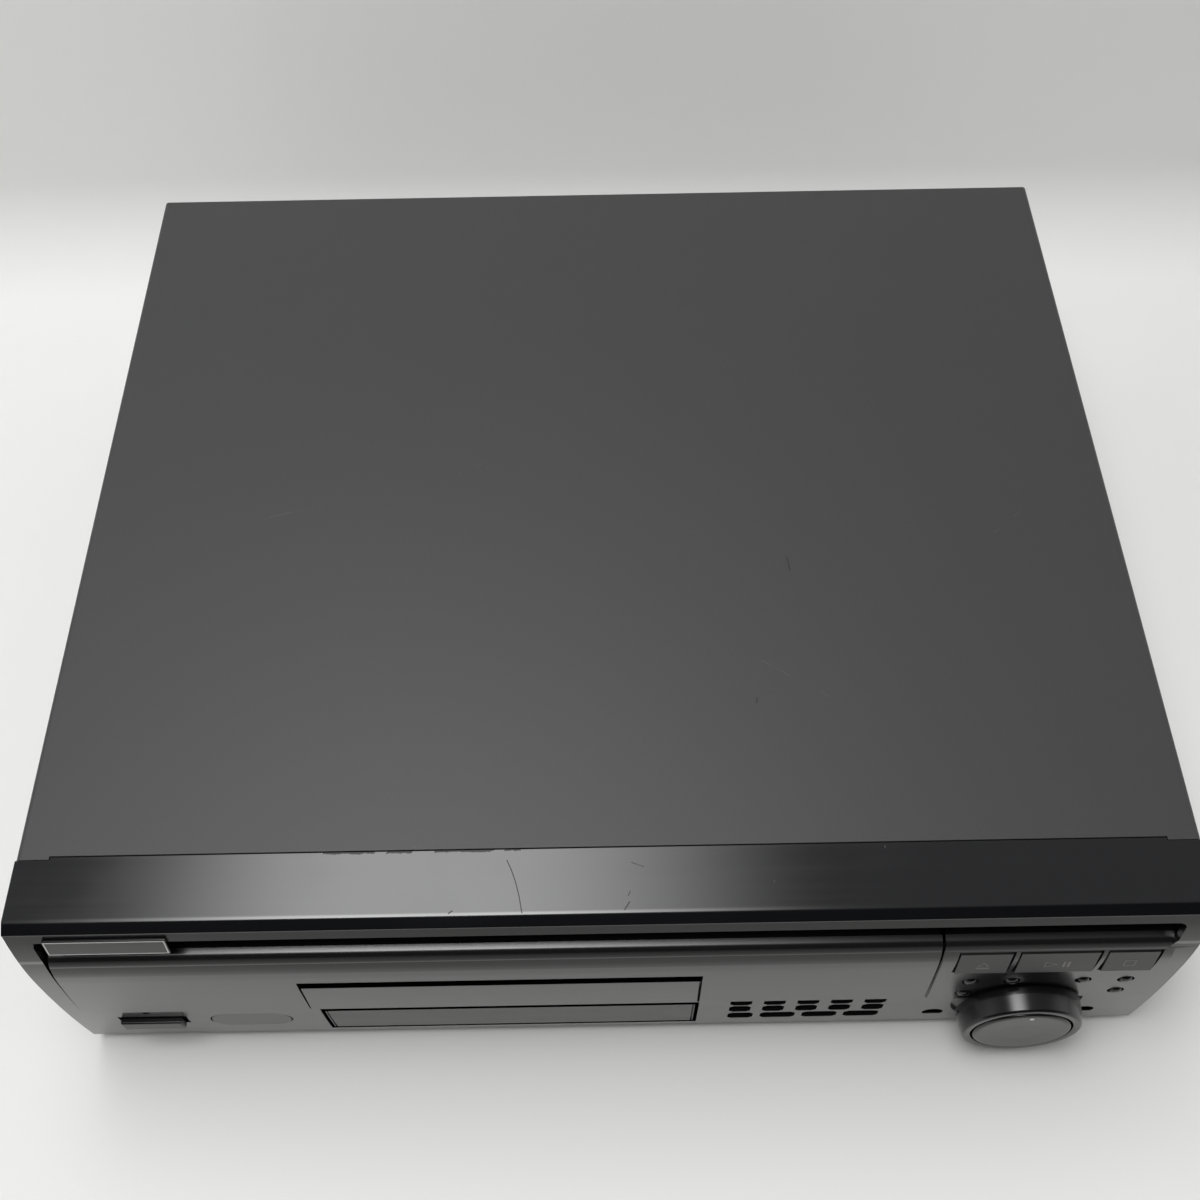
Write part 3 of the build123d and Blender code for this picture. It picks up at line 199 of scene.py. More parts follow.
class Finish(Shading):
    """A material with a Principled shader, and the patterns that vary it over the surface."""

    def __init__(self, name, colour, roughness, **constants):
        self.material = bpy.data.materials.new(name)
        self.material.use_nodes = True
        super().__init__(self.material.node_tree, "ShaderNodeTexCoord", "Object")
        self.shader = self.tree.nodes["Principled BSDF"]
        self.colour = (*colour, 1)
        self.shader.inputs["Base Color"].default_value = self.colour
        self.shader.inputs["Roughness"].default_value = roughness
        for key, value in constants.items():
            self.shader.inputs[key.replace("_", " ")].default_value = value

    def stretched(self, scale):
        """Object coordinates stretched for a pattern."""
        return self.node("ShaderNodeMapping", None, {"Vector": self.place, "Scale": scale})

    def noise(self, scale, detail=2, place=None, roughness=0.5):
        """Noise from 0 to 1; scale is in waves to the metre."""
        values = {"Vector": place or self.place, "Scale": scale, "Detail": detail, "Roughness": roughness}
        return self.node("ShaderNodeTexNoise", None, values)

    def cells(self, scale, feature="F1"):
        """Distance to the nearest of scattered points, or to the edge of its cell."""
        return self.node("ShaderNodeTexVoronoi", {"feature": feature}, {"Vector": self.place, "Scale": scale})

    def shade(self, factor):
        """The finish's own colour times a value."""
        black = (0, 0, 0, 1)
        double = (*[2 * c for c in self.colour[:3]], 1)
        return self.mix(factor * 0.5, black, double)

    def bump(self, height, distance, strength):
        """A normal bent by a height from 0 to 1 that stands for distance metres."""
        values = {"Height": height, "Distance": distance, "Strength": strength}
        return self.node("ShaderNodeBump", None, values)

    def use(self, **links):
        """Links values to the shader's sockets."""
        for key, value in links.items():
            self.tree.links.new(value.socket, self.shader.inputs[key.replace("_", " ")])
        return self.material


def line_mask(finish, start, stop, width):
    """1 along a straight scratch between two points (x, y) on top of the player."""
    x, y, _ = finish.axes()
    length = math.hypot(stop[0] - start[0], stop[1] - start[1])
    along_x, along_y = (stop[0] - start[0]) / length, (stop[1] - start[1]) / length
    dx, dy = x - start[0], y - start[1]
    along = dx * along_x + dy * along_y
    across = abs(dx * along_y - dy * along_x)
    return (across < width / 2) * (along > 0) * (along < length)


# ---- finishes -------------------------------------------------------------------------


def cover_paint(colour):
    """Matt textured paint on the steel cover, with a few light scratches and dark marks."""
    finish = Finish("cover_paint", colour, 0.42, Specular_IOR_Level=0.5)
    grain = finish.noise(2600, 2, roughness=0.6)
    speck = finish.noise(900, 3, roughness=0.65)
    cloud = finish.noise(9, 3)
    tone = 0.86 + 0.24 * speck + 0.06 * (cloud - 0.5)
    pale = [
        ((-0.139, -0.003), (-0.113, 0.004), 0.0004),
        ((-0.060, 0.019), (-0.046, 0.026), 0.0003),
        ((0.060, -0.076), (0.085, -0.093), 0.0003),
        ((0.154, -0.022), (0.172, -0.006), 0.0003),
    ]
    dark = [
        ((0.0742, -0.0275), (0.0748, -0.0345), 0.0005),
        ((0.0573, -0.0925), (0.0568, -0.0950), 0.0006),
    ]
    marks = sum(line_mask(finish, *line) for line in pale)
    scars = sum(line_mask(finish, *line) for line in dark)
    fade = finish.noise(240, 2).step(0.42, 0.6)
    shade = (tone + 0.7 * marks * fade) * (1 - 0.75 * scars)
    rough = 0.37 + 0.12 * speck
    bump = finish.bump(grain * 0.6 + speck * 0.4, 0.00005, 0.8)
    return finish.use(Base_Color=finish.shade(shade), Roughness=rough, Normal=bump)


def trim_gloss(colour):
    """Gloss black strip with hairlines along its length, chips on its rear edge and a long scratch."""
    finish = Finish("trim_gloss", colour, 0.12, Specular_IOR_Level=0.75)
    x, y, _ = finish.axes()
    hairs = finish.noise(1, 3, finish.stretched((9, 2600, 2600)), 0.7)
    long_hairs = finish.noise(1, 2, finish.stretched((2, 700, 700)))
    ragged = finish.noise(300, 4, roughness=0.75)
    edge = ((y - 0.0022 * ragged) > -0.15455) * (x > -0.101) * (x < -0.031) * (finish.noise(60, 2) > 0.47)
    smudge = finish.noise(26, 3).step(0.45, 0.75)
    scratch = [(-35.8, -156.9), (-34.3, -160.3), (-32.8, -164.5), (-31.3, -170.4), (-30.2, -176.7)]
    cuts = [(start, stop, 0.35) for start, stop in zip(scratch, scratch[1:])]
    cuts += [((5.2, -176.2), (7.1, -173.2), 0.5), ((6.6, -171.2), (7.4, -169.3), 0.3)]
    cuts += [((-55.6, -176.4), (-54.2, -175.4), 0.4), ((8, -158.6), (12.5, -160.4), 0.25)]
    cuts += [((97.8, -154.8), (97.8, -153.9), 0.5), ((57.5, -167.4), (57.9, -166), 0.35)]
    marks = 0
    for start, stop, width in cuts:
        ends = [(u * MM, v * MM) for u, v in (start, stop)]
        marks = line_mask(finish, *ends, width * MM) + marks
    edge = edge + marks
    rough = 0.06 + 0.06 * hairs + 0.05 * long_hairs + 0.04 * smudge + 0.4 * edge
    height = 0.5 * hairs + 0.5 * long_hairs - 2 * edge
    bump = finish.bump(height, 0.000012, 0.7)
    return finish.use(Roughness=rough, Normal=bump)


def satin_plastic(name, colour, roughness, grain=0.00002):
    """Moulded plastic with a fine spark-eroded grain."""
    finish = Finish(name, colour, roughness)
    fine = finish.noise(3200, 2, roughness=0.6)
    cloud = finish.noise(24, 3)
    rough = roughness - 0.04 + 0.05 * fine + 0.04 * cloud
    tone = 0.93 + 0.14 * fine
    bump = finish.bump(fine, grain, 0.6)
    return finish.use(Base_Color=finish.shade(tone), Roughness=rough, Normal=bump)


def front_satin(colour, roughness):
    """Satin front moulding: matt when faced, with a sheen along its surface and on its polished ledge."""
    finish = Finish("front_plastic", colour, roughness, IOR=1.3, Coat_IOR=1.5, Coat_Roughness=roughness)
    fine = finish.noise(3200, 2, roughness=0.6)
    cloud = finish.noise(24, 3)
    rough = roughness - 0.04 + 0.05 * fine + 0.05 * cloud
    facing = finish.node("ShaderNodeLayerWeight", None, {"Blend": 0.5}, output="Facing")
    z = finish.axes()[2]
    ledge = (z > 94.4 * MM) * (z < 96.5 * MM)
    sheen = 0.03 + 0.67 * facing.step(0.5, 0.7) + 0.85 * ledge
    bump = finish.bump(fine, 0.00002, 0.6)
    return finish.use(Base_Color=finish.shade(0.93 + 0.14 * fine), Roughness=rough, Coat_Weight=sheen, Normal=bump)


def zinc_steel(colour):
    """Zinc-plated sheet with faint rolling lines and a cloudy spangle."""
    finish = Finish("zinc_steel", colour, 0.36, Metallic=1.0)
    lines = finish.noise(1, 2, finish.stretched((60, 1800, 1800)))
    spangle = finish.cells(140)
    tone = 0.86 + 0.16 * lines + 0.12 * spangle
    rough = 0.3 + 0.14 * lines
    return finish.use(Base_Color=finish.shade(tone), Roughness=rough)


def plated_metal(name, colour, roughness):
    """Turned or plated metal with fine tool marks."""
    finish = Finish(name, colour, roughness, Metallic=1.0)
    marks = finish.noise(1500, 2)
    tone = 0.9 + 0.2 * marks
    rough = roughness - 0.05 + 0.1 * marks
    return finish.use(Base_Color=finish.shade(tone), Roughness=rough)


def painted_steel(name, colour, roughness):
    """Plain baked paint, such as on the rear panel and the screws."""
    finish = Finish(name, colour, roughness)
    grain = finish.noise(1800, 3)
    tone = 0.88 + 0.24 * grain
    bump = finish.bump(grain, 0.00003, 0.7)
    rough = roughness - 0.05 + 0.1 * grain
    return finish.use(Base_Color=finish.shade(tone), Roughness=rough, Normal=bump)


def painted_shade_finish():
    """Painted shade: unlit black that stands in for the shade in the deep joints round the window, the plates and
    the side buttons, and in the tray front's gap.
    """
    finish = Finish("painted_shade_black", (0.0012, 0.0012, 0.0012), 0.9, Specular_IOR_Level=0.0)
    return finish.use(Base_Color=finish.shade(0.8 + 0.4 * finish.noise(500, 2)))


def smoked_window(colour):
    """Smoked window, nearly black, with a thin wiped haze."""
    finish = Finish("window_smoke", colour, 0.2, Coat_Roughness=0.05)
    haze = finish.noise(1, 3, finish.stretched((30, 160, 160)))
    rough = 0.2 + 0.1 * haze
    return finish.use(Roughness=rough)


def gloss_plastic(name, colour, roughness, **constants):
    """Smooth moulded plastic with light handling marks."""
    finish = Finish(name, colour, roughness, **constants)
    smudge = finish.noise(60, 4, roughness=0.6)
    rough = roughness - 0.04 + 0.09 * smudge
    return finish.use(Roughness=rough)


def circuit_board(colour):
    """Green board with darker tracks under the lacquer."""
    finish = Finish("board_green", colour, 0.3)
    tracks = finish.cells(260, feature="DISTANCE_TO_EDGE").step(0.04, 0.07)
    dark = (*[0.55 * c for c in colour], 1)
    tint = finish.mix(tracks, (*colour, 1), dark)
    bump = finish.bump(tracks, 0.00004, 0.6)
    return finish.use(Base_Color=tint, Normal=bump)


def ribbon(colour):
    """Grey flat cable with one groove between each pair of wires; the grooves are painted darker as shade."""
    finish = Finish("ribbon_grey", colour, 0.45)
    x = finish.axes()[0]
    wires = ((x * 4947).maths("SINE") * 0.5 + 0.5).maths("POWER", 0.5)
    bump = finish.bump(wires, 0.0004, 0.8)
    # painted shade: the colour darkens into the grooves between the wires
    return finish.use(Base_Color=finish.shade(0.7 + 0.3 * wires), Normal=bump)


def build_finishes(look):
    """One material for each of the record's material slots."""
    return {
        "cover_paint": cover_paint(look.cover_colour),
        "trim_gloss": trim_gloss(look.trim_colour),
        "front_plastic": front_satin(look.front_colour, look.front_roughness),
        "button_plastic": gloss_plastic("button_plastic", look.button_colour, 0.14),
        "knob_plastic": satin_plastic("knob_plastic", look.knob_colour, 0.2),
        "window_smoke": smoked_window(look.window_colour),
        "plate_black": gloss_plastic("plate_black", (0.006, 0.006, 0.0065), 0.16),
        "led_red": gloss_plastic("led_red", (0.02, 0.003, 0.003), 0.2),
        "foot_rubber": satin_plastic("foot_rubber", (0.022, 0.022, 0.022), 0.6, 0.00005),
        "zinc_steel": zinc_steel((0.56, 0.56, 0.54)),
        "rear_paint": painted_steel("rear_paint", (0.03, 0.03, 0.031), 0.5),
        "screw_black": painted_steel("screw_black", (0.025, 0.025, 0.026), 0.36),
        "inner_plastic": satin_plastic("inner_plastic", (0.03, 0.03, 0.032), 0.5, 0.00004),
        "gear_plastic": satin_plastic("gear_plastic", (0.68, 0.66, 0.6), 0.4),
        "belt_rubber": satin_plastic("belt_rubber", (0.02, 0.02, 0.02), 0.65),
        "turntable_metal": plated_metal("turntable_metal", (0.62, 0.62, 0.63), 0.25),
        "mat_rubber": satin_plastic("mat_rubber", (0.025, 0.025, 0.025), 0.7),
        "motor_steel": plated_metal("motor_steel", (0.5, 0.5, 0.5), 0.3),
        "lens_glass": gloss_plastic("lens_glass", (0.1, 0.16, 0.35), 0.08),
        "board_green": circuit_board((0.02, 0.1, 0.035)),
        "part_black": satin_plastic("part_black", (0.025, 0.025, 0.026), 0.4),
        "display_glass": gloss_plastic("display_glass", (0.03, 0.045, 0.045), 0.08),
        "heat_aluminium": plated_metal("heat_aluminium", (0.5, 0.5, 0.51), 0.4),
        "core_iron": plated_metal("core_iron", (0.12, 0.12, 0.12), 0.5),
        "ribbon_grey": ribbon((0.5, 0.5, 0.5)),
        # painted shade: unlit black for the joints, the tray front's gap and the side buttons
        "painted_shade_black": painted_shade_finish(),
        "key_plastic": satin_plastic("key_plastic", look.front_colour, 0.34),
        "print_ink": satin_plastic("print_ink", (0.17, 0.16, 0.14), 0.5),
        "white_paint": satin_plastic("white_paint", (0.75, 0.75, 0.72), 0.3),
        "bright_rim": plated_metal("bright_rim", (0.45, 0.45, 0.44), 0.3),
    }


# ---- meshes ---------------------------------------------------------------------------


def slot_of(node):
    """Material slot that the record gives a CAD node."""
    for subpart in frame["record"]["subparts"]:
        if subpart["node"] == node:
            return subpart["material_slot"]
    raise RuntimeError(f"the record has no material slot for {node}")


def body_of(node):
    """Body that a CAD node rides on."""
    return frame["nodes"][node]["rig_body"]


def link(name, mesh):
    """New object with its place in its mesh."""
    piece = bpy.data.objects.new(name, mesh)
    bpy.context.scene.collection.objects.link(piece)
    return piece


def evaluated(piece):
    """Applies a piece's modifiers and leaves a plain mesh."""
    bpy.context.view_layer.update()
    graph = bpy.context.evaluated_depsgraph_get()
    mesh = bpy.data.meshes.new_from_object(piece.evaluated_get(graph))
    piece.modifiers.clear()
    piece.data = mesh
    return piece


def welded(node):
    """bmesh of a CAD node with its loose triangles joined and its flat faces whole."""
    bm = bmesh.new()
    bm.from_mesh(frame["nodes"][node].data)
    bmesh.ops.remove_doubles(bm, verts=bm.verts, dist=0.000002)
    bmesh.ops.dissolve_limit(bm, angle_limit=math.radians(0.4), verts=bm.verts, edges=bm.edges)
    return bm


def carried(piece, body, finish):
    """Gives a piece its finish and its body."""
    piece.data.materials.clear()
    piece.data.materials.append(finishes[finish])
    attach(piece, body)
    return piece


def finish_piece(piece, node, finish=None):
    """Lets a piece stand for a CAD node, with the node's own finish or another."""
    slot = slot_of(node)
    carried(piece, body_of(node), finish or slot)
    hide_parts(node)
    return piece


def curved_normals(mesh):
    """Gives faces that follow the curved front the arcs' own normals, so that it shades without facets."""
    wanted = [corner.vector.copy() for corner in mesh.corner_normals]
    for face in mesh.polygons:
        middle = front_normal(face.center.z)
        if face.normal.y > -0.5 or (face.normal - middle).length > 0.05:
            continue
        for index in face.loop_indices:
            wanted[index] = front_normal(mesh.vertices[mesh.loops[index].vertex_index].co.z)
    mesh.normals_split_custom_set(wanted)


def round_edges(piece, width):
    """Rounds a piece's sharp edges and evens out its normals."""
    bevel = piece.modifiers.new("round", "BEVEL")
    bevel.width = width
    bevel.segments = ROUND_STEPS
    bevel.limit_method = "ANGLE"
    bevel.angle_limit = ROUND_ANGLE
    bevel.miter_outer = "MITER_ARC"
    weigh = piece.modifiers.new("weigh", "WEIGHTED_NORMAL")
    weigh.keep_sharp = True
    weigh.weight = 80
    return evaluated(piece)


def broad_shoulder(bm):
    """Turns the small lip on top of the tray front and the control block into a broad soft shoulder."""
    start, corner, end = Vector((-180.3, 95.57)), Vector((-183.0, 94.9)), Vector((-183.3, 91.0))
    for vert in bm.verts:
        y, z = vert.co.y / MM, vert.co.z / MM
        if y < -181.7 and 93.9 < z < 95.25:
            turn = math.atan2(z - 94.5, -181.8 - y) if z > 94.2 else -0.5
            t = min(max((math.pi / 2 - turn) / (math.pi / 2 + 0.15), 0), 1)
            y, z = start.lerp(corner, t).lerp(corner.lerp(end, t), t)
            vert.co.y, vert.co.z = y * MM, z * MM
    bmesh.ops.remove_doubles(bm, verts=bm.verts, dist=0.00001)


def rounded_copy(node, width, curved=False, reshape=None, finish=None):
    """Finished copy of a CAD node with its edges rounded; reshape changes its bmesh first."""
    bm = welded(node)
    if reshape:
        reshape(bm)
    mesh = bpy.data.meshes.new(node)
    bm.to_mesh(mesh)
    bm.free()
    mesh.shade_smooth()
    piece = round_edges(link(node + "_finished", mesh), width)
    if curved:
        curved_normals(piece.data)
    return finish_piece(piece, node, finish)


def softened(points, radius, steps=3):
    """Line through points whose inner corners are replaced by small curves."""
    line = [tuple(points[0])]
    for before, corner, after in zip(points, points[1:], points[2:]):
        corner = Vector(corner)
        to_before, to_after = Vector(before) - corner, Vector(after) - corner
        reach = min(radius, to_before.length / 2, to_after.length / 2)
        start = corner + to_before.normalized() * reach
        end = corner + to_after.normalized() * reach
        for i in range(steps + 1):
            t = i / steps
            line.append(tuple(start.lerp(corner, t).lerp(corner.lerp(end, t), t)))
    line.append(tuple(points[-1]))
    return line


def shell_mesh(name, verts, faces):
    """Mesh with its doubles joined, its faces outwards and its sharp edges marked."""
    mesh = bpy.data.meshes.new(name)
    mesh.from_pydata(verts, [], faces)
    bm = bmesh.new()
    bm.from_mesh(mesh)
    bmesh.ops.remove_doubles(bm, verts=bm.verts, dist=0.000001)
    bmesh.ops.dissolve_degenerate(bm, edges=bm.edges, dist=0.0000005)
    bmesh.ops.recalc_face_normals(bm, faces=bm.faces)
    bm.to_mesh(mesh)
    bm.free()
    mesh.shade_smooth()
    mesh.set_sharp_from_angle(angle=SHARP_ANGLE)
    return mesh


def turned_mesh(name, centre, profile, across, up, along, steps):
    """Closed mesh turned about a line through centre, from points of (radius, distance along it)."""
    centre, across, up, along = Vector(centre), Vector(across), Vector(up), Vector(along)
    verts = []
    for i in range(steps):
        turn = 2 * math.pi * i / steps
        out = across * math.cos(turn) + up * math.sin(turn)
        verts += [centre + out * radius + along * distance for radius, distance in profile]
    count = len(profile)
    faces = []
    for i in range(steps):
        here, there = i * count, (i + 1) % steps * count
        faces += [(here + j, here + j + 1, there + j + 1, there + j) for j in range(count - 1)]
    return shell_mesh(name, verts, faces)


def in_metres(profile):
    """A profile in millimetres turned into metres."""
    return [(u * MM, v * MM) for u, v in profile]


def front_turned(name, x, z, profile, steps):
    """Turned piece that points out of the front; its profile gives (radius, y) in millimetres."""
    mesh = turned_mesh(name, (x, 0, z), in_metres(profile), (1, 0, 0), (0, 0, 1), (0, 1, 0), steps)
    return link(name, mesh)


def upright_turned(name, profile, steps):
    """Turned piece along Z; its profile gives (radius, z) in millimetres."""
    mesh = turned_mesh(name, (0, 0, 0), in_metres(profile), (1, 0, 0), (0, 1, 0), (0, 0, 1), steps)
    return link(name, mesh)


def thin_piece(name, verts, faces, body, finish):
    """Thin flat shape on a face that looks forwards, such as print or a rim."""
    mesh = bpy.data.meshes.new(name)
    mesh.from_pydata(verts, [], faces)
    bm = bmesh.new()
    bm.from_mesh(mesh)
    for face in bm.faces:
        face.normal_update()
        if face.normal.y > 0:
            face.normal_flip()
    bm.to_mesh(mesh)
    bm.free()
    piece = link(name, mesh)
    solid = piece.modifiers.new("thick", "SOLIDIFY")
    solid.thickness = PRINT_THICKNESS
    return carried(evaluated(piece), body, finish)


def scatter_tree():
    """Geometry nodes that set one shape on every point, turned to the point's facing."""
    tree = bpy.data.node_groups.new("scatter", "GeometryNodeTree")
    kinds = {"Geometry": "Geometry", "Shape": "Object", "Size": "Float", "Seed": "Int", "Finish": "Material"}
    for name, kind in kinds.items():
        tree.interface.new_socket(name, in_out="INPUT", socket_type="NodeSocket" + kind)
    tree.interface.new_socket("Geometry", in_out="OUTPUT", socket_type="NodeSocketGeometry")

    def add(kind, settings=None, values=None):
        node = tree.nodes.new(kind)
        for key, value in (settings or {}).items():
            setattr(node, key, value)
        for key, value in (values or {}).items():
            if isinstance(value, bpy.types.NodeSocket):
                tree.links.new(value, node.inputs[key])
            else:
                node.inputs[key].default_value = value
        return node

    given = add("NodeGroupInput").outputs
    shape = add("GeometryNodeObjectInfo", None, {"Object": given["Shape"]})
    facing = add("GeometryNodeInputNamedAttribute", {"data_type": "FLOAT_VECTOR"}, {"Name": "facing"})
    aim = add("FunctionNodeAlignRotationToVector", {"axis": "Z"}, {"Vector": facing.outputs["Attribute"]})
    chance = add("FunctionNodeRandomValue", {"data_type": "FLOAT"}, {3: 6.28, "Seed": given["Seed"]})
    spin = add("FunctionNodeAxisAngleToRotation", None, {"Axis": (0, 0, 1), "Angle": chance.outputs[1]})
    both = add(
        "FunctionNodeRotateRotation",
        {"rotation_space": "LOCAL"},
        {"Rotation": aim.outputs[0], "Rotate By": spin.outputs[0]},
    )
    placed = add(
        "GeometryNodeInstanceOnPoints",
        None,
        {
            "Points": given["Geometry"],
            "Instance": shape.outputs["Geometry"],
            "Rotation": both.outputs[0],
            "Scale": given["Size"],
        },
    )
    real = add("GeometryNodeRealizeInstances", None, {"Geometry": placed.outputs[0]})
    painted = add("GeometryNodeSetMaterial", None, {"Geometry": real.outputs[0], "Material": given["Finish"]})
    add("NodeGroupOutput", None, {0: painted.outputs[0]})
    return tree


def scattered(name, shape, places, finish, size, seed):
    """Copies of a shape at places given as (point in millimetres, facing), as one plain mesh."""
    mesh = bpy.data.meshes.new(name)
    mesh.from_pydata([[c * MM for c in point] for point, facing in places], [], [])
    attribute = mesh.attributes.new("facing", "FLOAT_VECTOR", "POINT")
    for i, (point, facing) in enumerate(places):
        attribute.data[i].vector = facing
    piece = link(name, mesh)
    nodes = piece.modifiers.new("scatter", "NODES")
    nodes.node_group = scatter_tree()
    wanted = {"Shape": shape, "Size": size, "Seed": seed, "Finish": finish}
    for socket in nodes.node_group.interface.items_tree:
        if socket.in_out == "INPUT" and socket.name in wanted:
            nodes[socket.identifier] = wanted[socket.name]
    evaluated(piece)
    bpy.data.objects.remove(shape)
    if not piece.data.polygons:
        raise RuntimeError(f"{name} came out empty")
    return piece


def band(outer, inner=None):
    """Faces between two like outlines, or over one; each vertex is a point on the outline's plane."""
    if inner is None:
        return outer, [tuple(range(len(outer)))]
    count = len(outer)
    faces = [(i, (i + 1) % count, count + (i + 1) % count, count + i) for i in range(count)]
    return outer + inner, faces


def divided(outline, parts):
    """Outline with each side split into equal parts, so that it can follow a curved face."""
    points = []
    for start, end in zip(outline, outline[1:] + outline[:1]):
        points += [tuple(Vector(start).lerp(Vector(end), i / parts)) for i in range(parts)]
    return points


def rim_piece(name, node, inset, width, proud, finish):
    """Thin even rim on a plate's curved face, which stands proud of the curved front."""
    low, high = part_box(node)
    rings = []
    for edge in (inset, inset + width):
        left, right = low[0] + edge, high[0] - edge
        bottom, top = low[2] + edge, high[2] - edge
        rings.append(divided([(left, bottom), (right, bottom), (right, top), (left, top)], 6))
    verts, faces = band(*rings)
    points = [(x, front_face(z) - proud, z) for x, z in verts]
    return thin_piece(name, points, faces, body_of(node), finish)


def shrunk(outline, width):
    """Outline drawn in towards its middle so that its sides are about width wide."""
    middle = sum((Vector(p) for p in outline), Vector((0, 0))) / len(outline)
    size = min((Vector(p) - middle).length for p in outline)
    return [tuple(middle + (Vector(p) - middle) * (1 - 1.5 * width / size)) for p in outline]


# ---- settings -------------------------------------------------------------------------


def colour_property(name, description, default):
    """Colour setting of the object."""
    return FloatVectorProperty(
        name=name, description=description, default=default, size=3, min=0, max=1, subtype="COLOR"
    )


class PlayerLook(bpy.types.PropertyGroup):
    cover_colour: colour_property("Cover paint", "Matt paint of the steel cover", (0.0385, 0.0385, 0.039))
    front_colour: colour_property("Front plastic", "Satin moulding and tray front", (0.008, 0.008, 0.0083))
    trim_colour: colour_property("Trim", "Gloss strip over the front", (0.003, 0.0032, 0.0042))
    button_colour: colour_property("Buttons", "Gloss of the small buttons", (0.004, 0.004, 0.0045))
    knob_colour: colour_property("Knob", "Shuttle ring and jog dial", (0.005, 0.005, 0.0055))
    window_colour: colour_property("Window", "Smoked display window", (0.014, 0.014, 0.015))
    front_roughness: FloatProperty(
        name="Front roughness", description="Roughness of the satin moulding", default=0.22, min=0, max=1
    )
    edge_round: FloatProperty(
        name="Edge rounding",
        description="Radius of the moulded edges",
        default=0.3 * MM,
        unit="LENGTH",
        min=0.05 * MM,
        max=0.6 * MM,
    )


class StageLook(bpy.types.PropertyGroup):
    floor_colour: colour_property("Floor", "Plain pale floor", (0.85, 0.85, 0.835))
    sky_level: FloatProperty(
        name="Sky", description="Level of the light from above", default=0.33, min=0, max=2
    )
    wall_level: FloatProperty(
        name="Walls", description="Level of the light from around", default=0.9, min=0, max=2
    )
    room_level: FloatProperty(
        name="Room", description="Level of the dim room before the player", default=0.04, min=0, max=2
    )
    lamp_level: FloatProperty(
        name="Lamp", description="Radiance of the large lamp", default=4.9, min=0, max=20
    )
    lamp_width: FloatProperty(name="Lamp width", description="Width of the lamp", default=1.23, unit="LENGTH")
    lamp_depth: FloatProperty(name="Lamp depth", description="Depth of the lamp", default=1.95, unit="LENGTH")
    lamp_place: FloatVectorProperty(
        name="Lamp place", description="Middle of the lamp", default=(-0.255, -0.025, 1.8), size=3, unit="LENGTH"
    )
    lens: FloatProperty(name="Lens", description="Focal length", default=43.5, unit="CAMERA")


# ---- operators ------------------------------------------------------------------------


class DISC_OT_shell(bpy.types.Operator):
    """Makes the cover, the gloss trim and the front moulding"""

    bl_idname = "disc.shell"
    bl_label = "Shell"

    def execute(self, context):
        edge = context.scene.player_look.edge_round
        rounded_copy("top_cover", 0.25 * MM)
        self.make_trim()
        rounded_copy("front_panel", edge, curved=True, reshape=broad_shoulder)
        rounded_copy("tray_front", edge, curved=True, reshape=self.shoulder_and_inset)
        # painted shade: an unlit black sheet in the gap over the tray front's inset stands in for the shade there
        deep = -179.8 * MM
        points = [v.co for v in frame["nodes"]["tray_front"].data.vertices if abs(v.co.y - deep) < 0.02 * MM]
        left, right = min(p.x for p in points), max(p.x for p in points)
        rows = ((-183.5, 66.06), (-179.86, 66.06), (-179.86, 73.4))
        verts = [(x, y * MM, z * MM) for y, z in rows for x in (left, right)]
        thin_piece("tray_gap", verts, [(0, 1, 3, 2), (2, 3, 5, 4)], "tray", "painted_shade_black")
        return {"FINISHED"}

    @staticmethod
    def shoulder_and_inset(bm):
        """Shoulder of the tray front, with its long inset brought nearly flush."""
        broad_shoulder(bm)
        for old_y, z, new_y in ((-181.8, 66, -183.7), (-181, 48, -183.5)):
            for vert in bm.verts:
                if abs(vert.co.y - old_y * MM) < 0.02 * MM and abs(vert.co.z - z * MM) < 0.02 * MM:
                    vert.co.y = new_y * MM

    def make_trim(self):
        """Gloss strip: flat on top, with a broad soft bevel along its front."""
        low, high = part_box("top_trim")
        front, top, foot = low[1], high[2], low[2]
        lip_back, lip_top = -158 * MM, 116.7 * MM
        ear, tongue = -153.8 * MM, high[1]
        bevel = [(ear, top), (front + 4.1 * MM, top), (front, foot + 0.6 * MM), (front, foot)]
        edge = softened(bevel, 1.1 * MM, 5)
        verts, stations = [], []
        backs = ((-210, ear), (-197.7, ear), (-197.7, tongue), (197.7, tongue), (197.7, ear), (210, ear))
        for x, back in backs:
            outline = [(back, top), *edge[1:], (lip_back, foot), (lip_back, lip_top), (back, lip_top)]
            stations.append([len(verts) + i for i in range(len(outline))])
            verts += [(x * MM, y, z) for y, z in outline]
        faces = [tuple(stations[0]), tuple(stations[-1])]
        for here, there in zip(stations, stations[1:]):
            for i in range(len(here)):
                j = (i + 1) % len(here)
                faces.append((here[i], here[j], there[j], there[i]))
        mesh = shell_mesh("top_trim", verts, faces)
        finish_piece(round_edges(link("top_trim_finished", mesh), 0.2 * MM), "top_trim")


